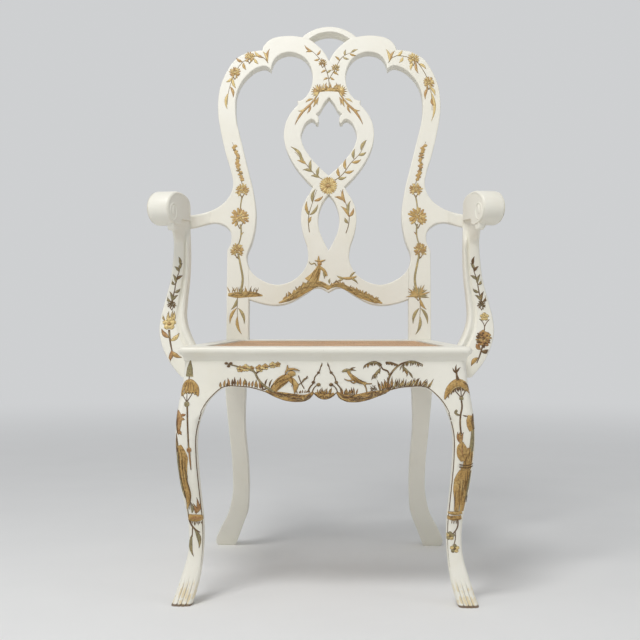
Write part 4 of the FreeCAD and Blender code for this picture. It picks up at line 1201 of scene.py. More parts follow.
    def spike(self, path, size, count):
        """A knobbly tail of buds strewn along a stem, with a bare foot and tip."""
        self.stroke(path, 1.8, STEM, UMBER, 1, 16)
        for base in smooth(path, count)[3:-3]:
            grow = size * (0.7 + 0.5 * self.chance.random())
            place = base + ((self.chance.random() - 0.5) * size, 0)
            self.spot(place, grow, grow * 0.8, self.pick(EARTH), 1.3)

    def folds(self, path, width, count, tints=(UMBER, UMBER, CLAY)):
        """Lines along a garment, side by side across its width."""
        middle = smooth(path, FOLD_POINTS)
        for share in np.linspace(-FOLD_REACH, FOLD_REACH, count):
            first = int(self.chance.random() * (FOLD_POINTS - FOLD_LENGTH + 1))
            wander = share * width + (self.chance.random(FOLD_POINTS) - 0.5) * width * FOLD_WANDER
            fold = (middle + beside(middle) * wander[:, None])[first:first + FOLD_LENGTH]
            self.stroke(fold, FINE_LINE, (0.6, 1, 0.6), self.pick(tints), ON_TOP, 9)

    def shape(self, place):
        """All strokes as one shape on the face that place describes."""
        relief = wood().relief / MM
        shapes = []
        for chart, swell, inside, tint in self.strokes:
            flat = chart.reshape(-1, 2)
            points = place(flat[:, 0], flat[:, 1], np.zeros(len(flat)), -swell.reshape(-1) * relief)
            marks = {"inside": inside, "tint": np.full(swell.shape, tint / 4)}
            shapes.append(loft(points.reshape(*swell.shape, 3), marks))
        return joined(shapes)


def stile_drawing(brush):
    """A plant that grows up the stile from a grassy bank, with leaves that hang below it."""
    if brush.side < 0:
        brush.bank([(210, 544), (188, 543.5), (166, 545), (138, 542)], 14, 26, (0.5, 1, 1, 0.85, 0.2))
        brush.grass([(206, 547), (188, 548), (150, 545)], 15, 15, 2.6, (UMBER, GOLD), 80)
    else:
        for number, angle in enumerate(range(-10, 200, 14)):
            brush.leaf((187, 542), angle, (23, 19, 26)[number % 3], 5, brush.pick((GOLD, SAGE, GOLD)), 1.4)
        brush.bloom((187, 543), 11)
    brush.sprig([(190, 540), (191, 522), (190, 498)],
                [(191, 536, 204, 513), (192, 516, 206, 483), (189, 516, 176, 483), (190, 500, 181, 461)],
                7.4, COOL)
    brush.stroke([(186, 546), (180, 573), (185, 607), (190, 630)], 6, (1, 0.85, 0.75, 0.7), SAGE, 1, 14)
    brush.stroke([(190, 648), (186, 660), (184, 677), (186, 692)], 3.6, (0.8, 0.8, 0.9, 1), SAGE, 1, 10)
    brush.stroke([(186, 724), (185, 738), (182, 753)], 3.4, (0.8, 0.9, 1), SAGE, 1)
    brush.sprig([(186, 616), (192, 622), (198, 630)], [(184, 668, 178, 676)], 3)
    brush.blooms(((192, 638, 16), (187, 707, 22), (183, 765, 15.5)))
    brush.spike([(183, 778), (188, 797), (192, 814), (196, 838), (205, 868)], 7.6, 32)


CREST_LEAVES = {
    -1: [(132, 1044, 128, 1074), (133, 1046, 143, 1068), (148, 1056, 160, 1069), (160, 1052, 152, 1040),
         (186, 1045, 200, 1054), (184, 1043, 178, 1027), (208, 1010, 221, 1000), (206, 1008, 199, 986),
         (212, 990, 205, 966), (215, 976, 217, 940), (156, 1058, 143, 1053)],
    1: [(129, 1044, 122, 1072), (131, 1046, 141, 1068), (146, 1057, 157, 1070), (158, 1054, 150, 1042),
        (187, 1042, 191, 1017), (192, 1039, 207, 1027), (180, 1042, 175, 1024), (214, 988, 226, 968),
        (212, 986, 205, 960), (216, 978, 217, 912), (218, 962, 226, 944)]}


def crest_drawing(brush):
    """Flowering branches over the shoulders, sprigs on the hoops and a leafy knot at the waist."""
    stems = {-1: [(131, 1042), (144, 1056), (171, 1054), (190, 1040), (202, 1018), (212, 992), (217, 950)],
             1: [(127, 1042), (140, 1056), (160, 1056), (184, 1047), (200, 1026), (213, 999), (218, 972),
                 (219, 936)]}
    heads = {-1: ((171, 1055, 13), (202, 1021, 14)), 1: ((180, 1050, 14), (213, 997, 14))}
    pale = (STRAW, STRAW, GOLD, CLAY)
    for side in (-1, 1):
        brush.side = side
        brush.sprig(stems[side], CREST_LEAVES[side], 7, pale)
        brush.blooms(heads[side], pale)
        brush.stroke([(22, 978), (38, 952), (56, 934), (72, 906)], 6, (0.3, 0.6, 1, 0.9, 0.2), CLAY, 1.2, 14)
        brush.sprig([(20, 979), (36, 953), (54, 935)],
                    [(30, 964, 34, 944), (22, 966, 25, 948), (40, 950, 47, 930), (34, 962, 50, 954),
                     (48, 941, 66, 936)], 5.4)
    brush.sprig([(0, 984), (-4, 1019), (-14, 1041), (-30, 1062), (-49, 1077)],
                [(-36, 1067, -50, 1066), (-36, 1068, -53, 1082), (-27, 1059, -19, 1071),
                 (-21, 1051, -33, 1048), (-6, 1025, -17, 1019), (-4, 1018, 6, 1026), (-2, 1008, -12, 1003)],
                5.4, (GOLD, CLAY, SAGE))
    brush.sprig([(-1, 1004), (14, 1030), (26, 1052), (53, 1066)],
                [(30, 1055, 43, 1050), (34, 1058, 36, 1071), (44, 1063, 58, 1058), (47, 1064, 62, 1071),
                 (22, 1046, 12, 1056), (8, 1020, 20, 1014), (3, 1010, 12, 1004)], 5.4, COOL)
    brush.bloom((-14, 1042), 10, (CLAY, GOLD, STRAW))
    brush.bloom((14, 1030), 10, (SAGE, GOLD, STRAW))
    brush.bank([(-32, 977), (-12, 982), (12, 982), (33, 977)], 9, 12, MOUND, (UMBER, STRAW, STRAW))
    brush.grass([(-22, 982), (0, 985), (22, 982)], 15, 14, 3.4, pale, 90)
    for side in (-1, 1):
        for angle in range(-60, 120, 20):
            brush.leaf((side * 22, 978), 90 - side * (90 - angle), 17, 4.6, brush.pick(pale), 1.5)


SPLAT_SPRIGS = (
    ([(-14, 788), (-30, 799), (-47, 819), (-72, 847)],
     [(-19, 791, -38, 795), (-23, 795, -20, 814), (-34, 803, -55, 808), (-37, 807, -37, 830),
      (-48, 820, -67, 828), (-52, 824, -60, 846), (-56, 830, -81, 858)]),
    ([(13, 786), (28, 797), (46, 822), (65, 842), (78, 869)],
     [(18, 790, 37, 793), (23, 793, 20, 813), (33, 803, 53, 807), (36, 808, 36, 831),
      (48, 824, 68, 830), (53, 831, 55, 853), (62, 840, 79, 846), (68, 850, 80, 872)]),
    ([(-40, 675), (-42, 710), (-34, 739), (-25, 765)],
     [(-42, 711, -50, 724), (-42, 713, -46, 741), (-40, 712, -23, 734), (-34, 738, -28, 767),
      (-31, 742, -12, 752), (-41, 695, -36, 708)]),
    ([(36, 673), (43, 708), (35, 739), (25, 764)],
     [(43, 708, 52, 726), (42, 712, 46, 742), (42, 708, 25, 730), (36, 736, 30, 767),
      (33, 741, 12, 750), (41, 694, 34, 706)]))


def splat_drawing(brush):
    """A round flower where the straps cross, with a leafy sprig along each strap."""
    middle = np.array([-1, 774])
    for share, number in ((1, 22), (0.62, 12)):
        for angle in np.arange(number) * 360 / number:
            out = heading(angle)
            brush.stroke([middle + 5 * share * out, middle + 18.5 * share * out], 5.4 * share, PETAL,
                         brush.pick((GOLD, STRAW)), 2 - share, 6)
    brush.spot(middle, 9, 9, CLAY, 2.4)
    for number, (stem, leaves) in enumerate(SPLAT_SPRIGS):
        brush.sprig(stem, leaves, 7.4, COOL if number < 2 else (CLAY, SAGE, GOLD))


def rail_drawing(brush):
    """A bank along the lower rail, a seated figure with a wide hat and a flying bird."""
    hues = (UMBER, STRAW, CLAY, STRAW)
    brush.bank([(-104, 527), (-78, 538), (-49, 557), (-23, 567), (1, 557)], 19, 60,
               (0.15, 0.6, 0.95, 1, 0.7, 0.5), hues)
    brush.bank([(-2, 557), (20, 565), (42, 556), (71, 542), (112, 526)], 15, 48,
               (0.5, 0.7, 0.7, 1, 0.9, 0.2), hues)
    brush.grass([(-96, 534), (-72, 547), (-46, 565)], 11, 24, 3.8, fan=90)
    brush.grass([(40, 558), (70, 547), (104, 532)], 8, 20, 3.6, fan=90)
    brush.grass([(4, 561), (18, 569), (32, 564)], 7, 9, 3.4)
    robe = [(-19, 605), (-25, 590), (-37, 569)]
    brush.stroke(robe, 26, (0.3, 0.6, 0.9, 1.3), GOLD, 1.6, 14)
    brush.folds(robe, 17, 5)
    brush.stroke([(-18, 601), (-10, 595), (-4, 583)], 7, (0.9, 1, 0.6), GOLD, 2)
    brush.blade((-12, 594), (-9, 577), 6, SAGE)
    brush.spot((-19, 609), 9, 10, CLAY, 1.8)
    brush.stroke([(-29, 616), (-20, 614), (-7, 617)], 5, (0.3, 1, 0.9, 0.3), GOLD, 2.6)
    brush.stroke([(-21, 615), (-21, 625)], 6.5, (1, 0.3), GOLD, 2.6, 5)
    brush.stroke([(-26, 604), (-30, 610), (-36, 608), (-41, 613)], 2.8, (1, 0.8, 1, 0.5), SAGE, 1.4)
    brush.stroke([(24, 580), (42, 578), (58, 582)], 7, (0.2, 0.9, 1, 0.4), GOLD, 1.6, 9)
    for tip in ((57, 592), (62, 566), (17, 584), (19, 574)):
        brush.blade((44, 579) if tip[0] > 40 else (32, 579), tip, 5, SAGE, 0.1, 1.4)
    brush.blade((2, 567), (3, 578), 5, SAGE)


def knotted_stem(brush):
    """A bent stem with round knots and a side shoot that ends in a bud."""
    brush.stroke([(29, 371), (27, 378), (20, 387), (17, 398), (11, 405), (7, 417)], 3, (1, 0.8, 0.7, 0.6),
                 UMBER, 1.2, 18)
    brush.stroke([(22, 370), (19, 378), (12, 384)], 2.4, (1, 0.8), UMBER, 1.2)
    for x, z, size in ((20, 388, 6), (11, 405, 5), (11, 384, 7)):
        brush.spot((x, z), size, size, UMBER)
    brush.blade((8, 414), (5, 423), 3, UMBER)


def apron_drawing(brush):
    """A dark line along the edge, knotted plants, grassy banks, and the trees and creatures on them."""
    edge = smooth(APRON_LOBE + EAR[1:], 90)
    edge = edge + beside(edge) * EDGE_LINE
    for side in (-1, 1):
        brush.side = side
        brush.line(edge, 0.7, 90)
        brush.line([(x, z + 2) for x, z in APRON_DROP], 0.7)
        knotted_stem(brush)
    brush.bank([(-103, 373), (-78, 365.5), (-52, 361), (-34, 361.5), (-20, 371)], 15, 50,
               (0.3, 0.7, 1, 1, 0.8, 0.3))
    brush.bank([(21, 371), (36, 361.5), (53, 360.5), (78, 365.5), (112, 375)], 15, 56,
               (0.3, 0.9, 1, 1, 0.7, 0.3), (UMBER, UMBER, SAGE, CLAY, STRAW))
    brush.bank([(-17, 370), (-1, 363.5), (16, 369)], 11, 16)
    brush.grass([(-12, 367), (-1, 366), (10, 367)], 14, 13, 3)
    brush.grass([(30, 366), (54, 366)], 13, 14, 3.2, (CLAY, UMBER, GOLD))
    brush.grass([(-48, 368), (-26, 370)], 6, 8)
    brush.grass([(-181, 378), (-165, 380.5), (-135, 380), (-108, 375)], 15, 16, 5, (GOLD, UMBER, CLAY, GOLD),
                26)
    brush.grass([(112, 374), (134, 379.5), (158, 380.5), (182, 378)], 18, 34, 3, (GOLD, SAGE, UMBER, STRAW),
                36, -22)
    brush.grass([(96, 373), (118, 379)], 19, 14, 4, (CLAY, GOLD, CLAY, UMBER), 50)
    brush.bloom((85, 377), 7, (SAGE, UMBER))
    flowering_tree(brush)
    crouching_figure(brush)
    leaping_hound(brush)
    hanging_tree(brush)


def flowering_tree(brush):
    """A bent trunk with open flowers along its two boughs."""
    brush.stroke([(-88, 372), (-108, 384), (-118, 396), (-122, 405), (-144, 413), (-170, 420)], 5,
                 (1, 0.85, 0.8, 0.6, 0.45), SAGE, 1.2, 20)
    brush.stroke([(-121, 403), (-106, 412), (-82, 420)], 3, (1, 0.8, 0.6), UMBER, 1.2, 9)
    for x, z, radius in ((-148, 411, 6), (-138, 413, 7), (-128, 412, 5), (-114, 412, 7), (-104, 415, 6),
                         (-91, 418, 6), (-82, 419, 5)):
        brush.flower((x, z), radius, (STRAW, STRAW, GOLD), CLAY)
    for x, z in ((-172, 421), (-168, 416), (-164, 421)):
        brush.spot((x, z), 6, 5, UMBER)
    brush.blades([(-97, 378, -91, 394), (-95, 376, -84, 388), (-104, 382, -100, 394),
                  (-100, 378, -112, 376)], 3.4, UMBER)


def crouching_figure(brush):
    """In a long robe and a hat with a knob, with thin sticks in front."""
    robe = [(-60, 399), (-74, 391), (-90, 374)]
    brush.stroke(robe, 19, (0.45, 0.9, 1, 0.9, 0.7), GOLD, 1.8, 12)
    brush.stroke([(-64, 397), (-47, 382)], 11, (0.8, 1, 0.5), GOLD, 1.9)
    brush.stroke([(-50, 386), (-53, 368)], 13, (0.9, 0.7, 0.08), GOLD, 1.9)
    brush.folds(robe, 15, 4)
    brush.line([(-60, 398), (-56, 388), (-58, 381)], ON_TOP, 8)
    brush.line([(-46, 400), (-43, 391), (-36, 377)], 1.4, 8, 2)
    brush.line([(-47, 383), (-40, 388), (-30, 399)], 1.4, 8, 2)
    brush.blade((-40, 389), (-28, 396), 4, SAGE)
    brush.spot((-58, 403), 14, 12, GOLD, 2)
    brush.stroke([(-69, 402), (-66, 409), (-58, 411), (-44, 408)], 5, (0.4, 1, 1, 0.8, 0.3), GOLD, 3, 10)
    brush.stroke([(-65, 409), (-65, 418)], 6, (1, 0.3), GOLD, 2.8, 5)


def leaping_hound(brush):
    """With its head up, two ears and four thin limbs."""
    brush.stroke([(44, 402), (52, 394), (64, 388), (72, 386)], 10, (0.6, 1, 0.7, 0.6), GOLD, 1.7, 11)
    brush.stroke([(48, 398), (43, 403), (40, 409)], 7, (1, 0.9, 0.9), GOLD, 1.7, 7)
    brush.stroke([(45, 408), (37, 409), (30, 406.5)], 7, (0.8, 1, 0.4), SAGE, 1.9, 7)
    brush.folds([(47, 400), (56, 392), (70, 386)], 7, 3)
    for tip in ((54, 414), (55, 408)):
        brush.blade((42, 409), tip, 3.2, UMBER)
    for limb in ([(52, 394), (44, 391), (34, 394)], [(55, 391), (50, 387), (45, 390)],
                 [(66, 388), (71, 380), (73, 369)], [(64, 389), (72, 386), (82, 386)]):
        brush.stroke(limb, 3.6, (1, 0.8, 0.5), GOLD, 1.6)


def hanging_tree(brush):
    """A thin trunk in two boughs, with fringed leaves that hang from them."""
    brush.stroke([(111, 374), (112, 397), (121, 411), (134, 421), (166, 421)], 4.6,
                 (1, 0.85, 0.75, 0.6, 0.3), UMBER, 1.2, 18)
    brush.stroke([(112, 401), (109, 408), (101, 411), (95, 421), (72, 419)], 3.4, (1, 0.9, 0.8, 0.7, 0.4),
                 UMBER, 1.2, 14)
    for path, size, tint in (([(97, 414), (92, 407), (83, 400)], 10, SAGE),
                             ([(134, 418), (140, 411), (150, 404)], 10, SAGE),
                             ([(98, 421), (84, 423), (70, 419)], 8, SAGE),
                             ([(106, 424), (114, 422), (126, 420)], 5, UMBER),
                             ([(136, 422), (148, 424), (170, 420)], 8, SAGE)):
        brush.stroke(path, 4.6, LEAF, tint, 1.2, 10)
        brush.grass(path, -size, 15, 2.6, (tint, GOLD, tint), 50)


def leg_drawing(brush):
    """A parasol on a pole, a robed figure on a plinth and hanging leaves."""
    if brush.side < 0:
        left_parasol(brush)
        left_figure(brush)
    else:
        right_parasol(brush)
        right_figure(brush)
    heights = np.array([EAR[-1][1] + 1, 300, 260, 220, 180, 140, 100, 64])
    edge = np.stack([leg_walls(heights)[1] + EDGE_LINE + 0.3, heights], axis=1)
    brush.stroke(edge, FINE_LINE, (1, 1, 1, 1, 0.7, 0.1), UMBER, 0.7, 60)


def left_parasol(brush):
    """Open, with a tasselled rim, a pointed top and a straight pole."""
    brush.stroke([(236.5, 398), (236, 408), (234.5, 427)], 15, (1, 0.75, 0.08), SAGE, 1.4, 9)
    brush.line([(236.5, 400), (237, 390)], 1.4, 5, 2)
    brush.stroke([(235.5, 391), (235.5, 371)], 26, (0.6, 1, 1), GOLD, 1.4)
    brush.stroke([(249, 364), (246.5, 381), (235.5, 390), (224.5, 381), (221, 364)], 9, (0.4, 1, 1, 1, 0.4),
                 GOLD, 1.6, 20)
    for share in (-0.7, -0.2, 0.3, 0.8):
        brush.line([(235.5 + 3 * share, 391), (235.5 + 8 * share, 384), (235.5 + 11 * share, 373)], 2.6, 8,
                   1.3)
    brush.grass([(248, 371), (235.5, 374), (223, 371)], -7, 14, 3.6, (GOLD, UMBER, STRAW), 16)
    for x in (249, 240, 231):
        brush.line([(x, 368), (240, 354)], 1.3, 6)
    brush.spot((240, 350.5), 9, 11.5, SAGE)
    brush.line([(239, 346), (238, 316), (236, 272)], 1.3, 16, 3.2)


def right_parasol(brush):
    """A fringed dome with a leafy top, ribs and a pole with a side shoot."""
    brush.stroke([(231, 392), (229, 402), (228, 410)], 6, (1.2, 0.6, 0.5), UMBER, 1.4, 7)
    for tip in ((229, 420), (236, 415), (222, 414)):
        brush.blade((229, 404), tip, 3.6, UMBER)
    dome = [(208, 360), (214, 375), (231, 388), (247, 380), (257, 363)]
    brush.stroke(dome, 15, (0.2, 0.8, 1.05, 0.9, 0.4), GOLD, 1.2, 20)
    brush.stroke([(216, 368), (231, 381), (246, 374)], 2.6, EVEN, STRAW, 2.4, 14)
    brush.stroke([(240, 389), (251, 380), (258, 364)], 5, (0.3, 1, 0.8), UMBER, 2.4, 10)
    brush.grass([(208, 364), (216, 372), (230, 381), (242, 377)], -9, 20, 2.4, (GOLD, GOLD, UMBER), 20)
    for tip in ((226, 374), (236, 377), (244, 374)):
        brush.line([(236.5, 362), tip], 1.3, 5, 2)
    brush.spot((236.5, 361), 7, 8, SAGE)
    brush.line([(236.5, 357), (237.5, 346), (235, 334), (236, 300)], 1.3, 14, 3.2)
    brush.stroke([(235, 333), (230, 333), (226, 337), (229, 341)], 5, (0.5, 0.7, 1, 0.8), SAGE, 1.4, 9)
    brush.blade((250, 374), (259, 377), 3.4, SAGE)


def left_figure(brush):
    """Seen from the side on the outer edge, a hand on the pole, in a long robe that narrows downwards."""
    brush.stroke([(258, 342), (254, 331), (254, 316), (254, 298)], 14, (0.2, 1, 0.75, 0.2), CLAY, 1.8, 12)
    brush.stroke([(259, 340), (258, 322), (256, 300)], 5, (0.6, 1, 0.4), UMBER, 2.6, 9)
    brush.blades([(251, 332, 241, 333), (250, 327, 243, 324), (252, 306, 248, 297)], 6, CLAY)
    brush.stroke([(258, 300), (257, 284), (256, 262)], 6, (0.2, 1, 1), UMBER, 1.6)
    robe = [(253, 279), (248.5, 264), (247.5, 240), (245, 214), (239, 193), (241, 166)]
    brush.stroke(robe, 22, (0.4, 1.0, 0.78, 0.6, 0.55, 0.15), GOLD, 1.8, 26)
    brush.folds(robe, 13, 3)
    brush.folds(robe[:4], 15, 3, (CLAY, STRAW))
    brush.stroke([(256, 268), (255, 240), (251, 212), (244, 188)], 6, (0.8, 1, 1, 0.6), SAGE, 3, 16)
    brush.line([(244, 196), (241, 172), (239, 148)], 1.3, 10, 2)
    brush.spot((235.5, 271), 8, 11, CLAY, 2.4)
    brush.stroke([(235, 268), (234, 252), (232.5, 236)], 3.6, (1, 1, 0.5), CLAY, 2, 9)
    brush.stroke([(213, 151), (226, 149.5), (239, 151)], 14.5, (0.75, 1, 0.9), GOLD, 2, 10)
    brush.spot((225, 150), 18, 9, CLAY, 3)
    brush.grass([(217, 144), (235, 144)], -8, 8, 2, (UMBER, GOLD), 14)
    brush.blades([(226, 156, 224, 187), (225, 158, 218, 178), (227, 158, 230, 176)], 6, CLAY)
    brush.blade((233, 158), (234, 178), 6, SAGE)
    brush.sprig([(238, 147), (231, 133), (219, 124)], [(229, 130, 221, 96), (233, 120, 230, 82)], 8.5,
                (SAGE, SAGE), 4)
    brush.line([(232, 136), (233, 116)], 1.2, 6, 2)


def right_figure(brush):
    """Turned inwards, with a plain head, a wide sleeve, a sash and loose trousers."""
    brush.stroke([(252, 332), (251, 320), (253, 305)], 14, (0.7, 1, 0.9, 0.5), GOLD, 1.8, 10)
    brush.stroke([(258, 334), (256, 326), (258, 308)], 7, (0.8, 1, 0.6), UMBER, 2.4)
    brush.blade((248, 331), (238, 333), 2.8, UMBER)
    brush.stroke([(256, 308), (255, 290), (253, 270)], 9, (0.6, 0.9, 1), SAGE, 1.6, 9)
    for tip, tint in (((230, 304), CLAY), ((235, 306), GOLD), ((240, 303), CLAY)):
        brush.blade((236, 283), tip, 6.5, tint)
    brush.stroke([(251, 276), (250, 262), (247, 240)], 19, (0.5, 1, 1), GOLD, 1.6, 12)
    brush.stroke([(237.5, 287), (237, 270), (240, 253)], 21, (0.15, 0.85, 1, 0.9, 0.5), GOLD, 2, 14)
    brush.stroke([(238, 281), (237, 272), (239, 262)], 5, (0.4, 1, 0.4), CLAY, ON_TOP - 1)
    brush.folds([(250, 276), (250, 262), (247, 246)], 12, 3)
    for height in (247, 242.5):
        brush.line([(233, height), (244, height - 1.5), (257, height + 1)], ON_TOP, 8, 2)
    brush.stroke([(245, 242), (243, 222), (241, 196), (238, 164)], 20, (1, 1, 0.65, 0.4), GOLD, 1.8, 18)
    brush.folds([(246, 240), (244, 216), (241, 180)], 13, 4)
    brush.stroke([(236, 236), (231, 222), (229.5, 205), (230, 184), (229, 164)], 13,
                 (0.5, 1.05, 1.1, 0.8, 0.7), GOLD, 2.4, 18)
    brush.folds([(233, 228), (230, 202), (230, 170)], 8, 2)
    brush.stroke([(253, 236), (249, 212), (243, 180)], 5, (0.5, 1, 0.4), SAGE, 3, 12)
    brush.stroke([(215, 161), (227, 160), (239, 161.5)], 8, (0.6, 1, 0.9), GOLD, 2.2, 9)
    brush.stroke([(212, 153), (224, 151), (238, 153)], 10, (0.7, 1, 0.9), GOLD, 2, 9)
    brush.folds([(213, 153), (225, 151), (237, 153)], 6, 2)
    brush.grass([(222, 147), (232, 147)], -8, 4, 2, (UMBER, GOLD), 10)
    brush.stroke([(231.5, 148), (231.5, 136), (224, 124), (219, 120)], 3, STEM, UMBER, 1.2, 12)
    brush.line([(227, 128), (228, 117), (225, 104)], 1.2, 8)
    brush.flower((218.5, 119.5), 8, (SAGE, STRAW), UMBER)
    brush.flower((226.5, 97.5), 8, (SAGE, STRAW), UMBER)


def stump_drawing(brush):
    """A leafy sprig down the stump with an open flower at its widest place."""
    brush.sprig([(289, 524), (282, 548), (278, 570), (272, 587), (271, 607)],
                [(288, 528, 299, 541), (287, 530, 291, 548), (286, 530, 275, 541), (282, 546, 271, 553),
                 (280, 560, 290, 571), (279, 562, 285, 580), (277, 569, 266, 577), (273, 584, 281, 594),
                 (272, 588, 266, 600), (271, 596, 273, 612)], 6, (SAGE, SAGE, UMBER), 2.2)
    brush.bloom((287, 523), 9, (SAGE, UMBER, SAGE))
    if brush.side < 0:
        brush.sprig([(291, 477), (289, 460), (287, 449), (283, 434)],
                    [(290, 462, 305, 479), (288, 457, 272, 471), (285, 440, 292, 418),
                     (285, 438, 266, 426)], 9, (GOLD, STRAW, CLAY), 4.4)
        brush.grass([(282, 492), (299, 493)], 20, 7, 4.6, (STRAW, STRAW), 70)
        brush.flower((291, 488), 12)
    else:
        for tip in ((301, 496), (283, 497)):
            brush.line([(291, 474), (292, 482), tip], 0.9, 8)
        brush.flower((292, 501), 8, (STRAW, STRAW), STRAW)
        brush.sprig([(288, 450), (284, 436), (276, 416)],
                    [(284, 438, 304, 441), (284, 441, 276, 452), (279, 426, 266, 411)],
                    9, (CLAY, GOLD, UMBER), 3.4)
        brush.bloom((290, 461), 15.5, (CLAY, GOLD, UMBER))
        for floret in ((283, 463), (296, 466), (293, 453), (284, 454), (289, 470), (290, 461)):
            brush.flower(floret, 7, (CLAY, UMBER, GOLD), UMBER)


def volute_shape(side_share):
    """A rim along the rolled end, a ridge that winds in from it and a round eye, on one side of the arm."""
    brush = Brush(3)

    def arc(middle, radii, first, last, count):
        turn = np.radians(np.linspace(first, last, count))[:, None]
        return np.array(middle) + np.array(radii) * np.concatenate([np.cos(turn), np.sin(turn)], axis=1)

    rim = arc((SCROLL_RADIUS, SCROLL_HEIGHT), SCROLL_RADIUS - RIM_INSIDE, *RIM_TURN, 40)
    brush.stroke(rim, 4.4, (0.2, 1, 1, 1, 0.2), GOLD, 1.1, 60)
    winding = arc(SCROLL_EYE, EYE_RADII, *EYE_TURN, 50)
    brush.stroke(winding, 4, (0.2, 0.8, 1, 0.9, 0.5), GOLD, 1.3, 60)
    x, z = SCROLL_EYE
    brush.stroke([(x, z + 11), (x, z - 4)], 9, (0.4, 0.85, 1, 0.85, 0.4), GOLD, 1.9, 14)

    def on_wall(along, height, share, distance):
        outwards = distance if side_share == 0 else -distance
        return on_arm(along, height, np.full_like(along, side_share), outwards)

    return brush.shape(on_wall)


# Finishes


class Wire:
    """A socket of a node tree; arithmetic on it adds Math nodes."""

    def __init__(self, tree, socket=None):
        self.tree = tree
        self.socket = socket

    def node(self, kind, settings=None, inputs=None, output=0):
        """Add a node, set its settings, then fill or link its inputs; returns one of its outputs."""
        made = self.tree.nodes.new(kind)
        for name, value in (settings or {}).items():
            if name == "stops":
                ramp = made.color_ramp
                ramp.interpolation = "CONSTANT"
                while len(ramp.elements) < len(value):
                    ramp.elements.new(0.5)
                for element, (position, hue) in zip(ramp.elements, value):
                    element.position = position
                    element.color = (*hue, 1)
            else:
                setattr(made, name, value)
        for name, value in (inputs or {}).items():
            if isinstance(value, Wire):
                self.tree.links.new(value.socket, made.inputs[name])
            else:
                made.inputs[name].default_value = value
        return Wire(self.tree, made.outputs[output])

    def maths(self, operation, first, second):
        return self.node("ShaderNodeMath", {"operation": operation}, {0: first, 1: second})

    def __add__(self, other):
        return self.maths("ADD", self, other)

    def __sub__(self, other):
        return self.maths("SUBTRACT", self, other)

    def __rsub__(self, other):
        return self.maths("SUBTRACT", other, self)

    def __mul__(self, other):
        return self.maths("MULTIPLY", self, other)

    __radd__ = __add__
    __rmul__ = __mul__

    def step(self, low, high):
        """0 at low, 1 at high, smooth between."""
        return self.node("ShaderNodeMapRange", {"interpolation_type": "SMOOTHSTEP"},
                         {"Value": self, "From Min": low, "From Max": high}, "Result")

    def mix(self, first, second):
        """First colour where this is 0, second where it is 1. The Mix node names its sockets alike, so they
        are counted: 0 is the factor, 6 and 7 are the colours, and output 2 is the mixed colour."""
        first, second = (part if isinstance(part, Wire) else (*part, 1.0) for part in (first, second))
        return self.node("ShaderNodeMix", {"data_type": "RGBA"}, {0: self, 6: first, 7: second}, 2)

    def noise(self, scale, detail=3.0, rough=0.55):
        """Noise over the place that this gives."""
        inputs = {"Vector": self, "Scale": scale, "Detail": detail, "Roughness": rough}
        return self.node("ShaderNodeTexNoise", {}, inputs, "Fac")

    def mark(self, name):
        """The number that a shape carries on its points."""
        return self.node("ShaderNodeAttribute", {"attribute_name": name}, output="Fac")

    def shown(self):
        """1 for the camera, for reflections and for what is seen through glass."""
        rays = ("Is Camera Ray", "Is Glossy Ray", "Is Transmission Ray")
        camera, glossy, through_glass = (self.node("ShaderNodeLightPath", output=ray) for ray in rays)
        return camera + glossy + through_glass


def finish_tree(name, constants=None):
    """A new material with its shader, some of whose inputs are set, and a wire at the object's places."""
    made = bpy.data.materials.new(name)
    made.use_nodes = True
    shader = made.node_tree.nodes["Principled BSDF"]
    for socket, value in (constants or {}).items():
        shader.inputs[socket].default_value = value
    return made, shader, Wire(made.node_tree).node("ShaderNodeTexCoord", output="Object")


def attach(node, **sockets):
    """Link wires to a node; an underscore stands for a space in the name of an input."""
    for name, value in sockets.items():
        value.tree.links.new(value.socket, node.inputs[name.replace("_", " ")])


def scaled(hue, share):
    """A colour made lighter or darker."""
    return tuple(min(1.0, part * share) for part in hue)


def ivory_paint():
    """Ivory lacquer: clouded with age, yellow in patches, finely speckled, with a soft uneven gloss, and
    painted shade in the toe grooves and along the sole.
    """
    made, shader, place = finish_tree("ivory_paint", {"Coat Weight": 0.12, "Coat Roughness": 0.25})
    look = colours()
    cloud = place.noise(7, 4).step(0.42, 0.78)
    patch = place.noise(31, 5, 0.6).step(0.5, 0.8)
    fleck = place.noise(420, 2).step(0.70, 0.80)
    base = (cloud * 0.20 + patch * 0.12).mix(look.ivory, look.aged)
    base = (fleck * 0.25).mix(base, look.umber)
    rubbed = place.mark("gilt") * place.noise(60, 4, 0.65).step(0.35, 0.62)
    gilded = (rubbed.step(0.08, 0.6) * 0.6).mix(base, look.straw)
    # Painted shade in the toe grooves and a painted shadow along the sole, carried by the groove mark
    groove_and_sole_shaded = (place.mark("groove").step(0.15, 0.8) * 0.9).mix(gilded, look.umber)
    bump = {"Strength": 0.12, "Distance": 0.0004, "Height": place.noise(260, 4)}
    attach(shader, Base_Color=groove_and_sole_shaded, Roughness=0.34 + 0.18 * place.noise(90),
           Normal=place.node("ShaderNodeBump", {}, bump, "Normal"))
    return made


def gilt_finish(name, edge, dark, painted_glare):
    """Raised gilt: five hues chosen by a mark, mottled, with a dark line of even width round each stroke."""
    made, shader, place = finish_tree(name, {"Metallic": 0.15})
    look = colours()
    hues = (look.gold, look.straw, look.clay, look.sage, look.umber)
    stops = [(max(0.0, number / 4 - 0.125), tuple(hue)) for number, hue in enumerate(hues)]
    hue = place.node("ShaderNodeValToRGB", {"stops": stops}, {"Fac": place.mark("tint")}, "Color")
    broad, fine = place.noise(110, 3, 0.6), place.noise(330, 3, 0.6)
    # The glare amount lifts the mottling towards straw; with the weaker outline and dark mottling it paints
    # glare on the back
    mottled = (broad.step(0.45, 0.75) * 0.5 + painted_glare).mix(hue, look.straw)
    mottled = (fine.step(0.46, 0.66) * dark).mix(mottled, look.umber)
    line = 1 - place.mark("inside").step(0.55, 1.15)
    attach(shader, Base_Color=(line * edge).mix(mottled, look.umber), Roughness=0.4 + 0.2 * fine)
    return made


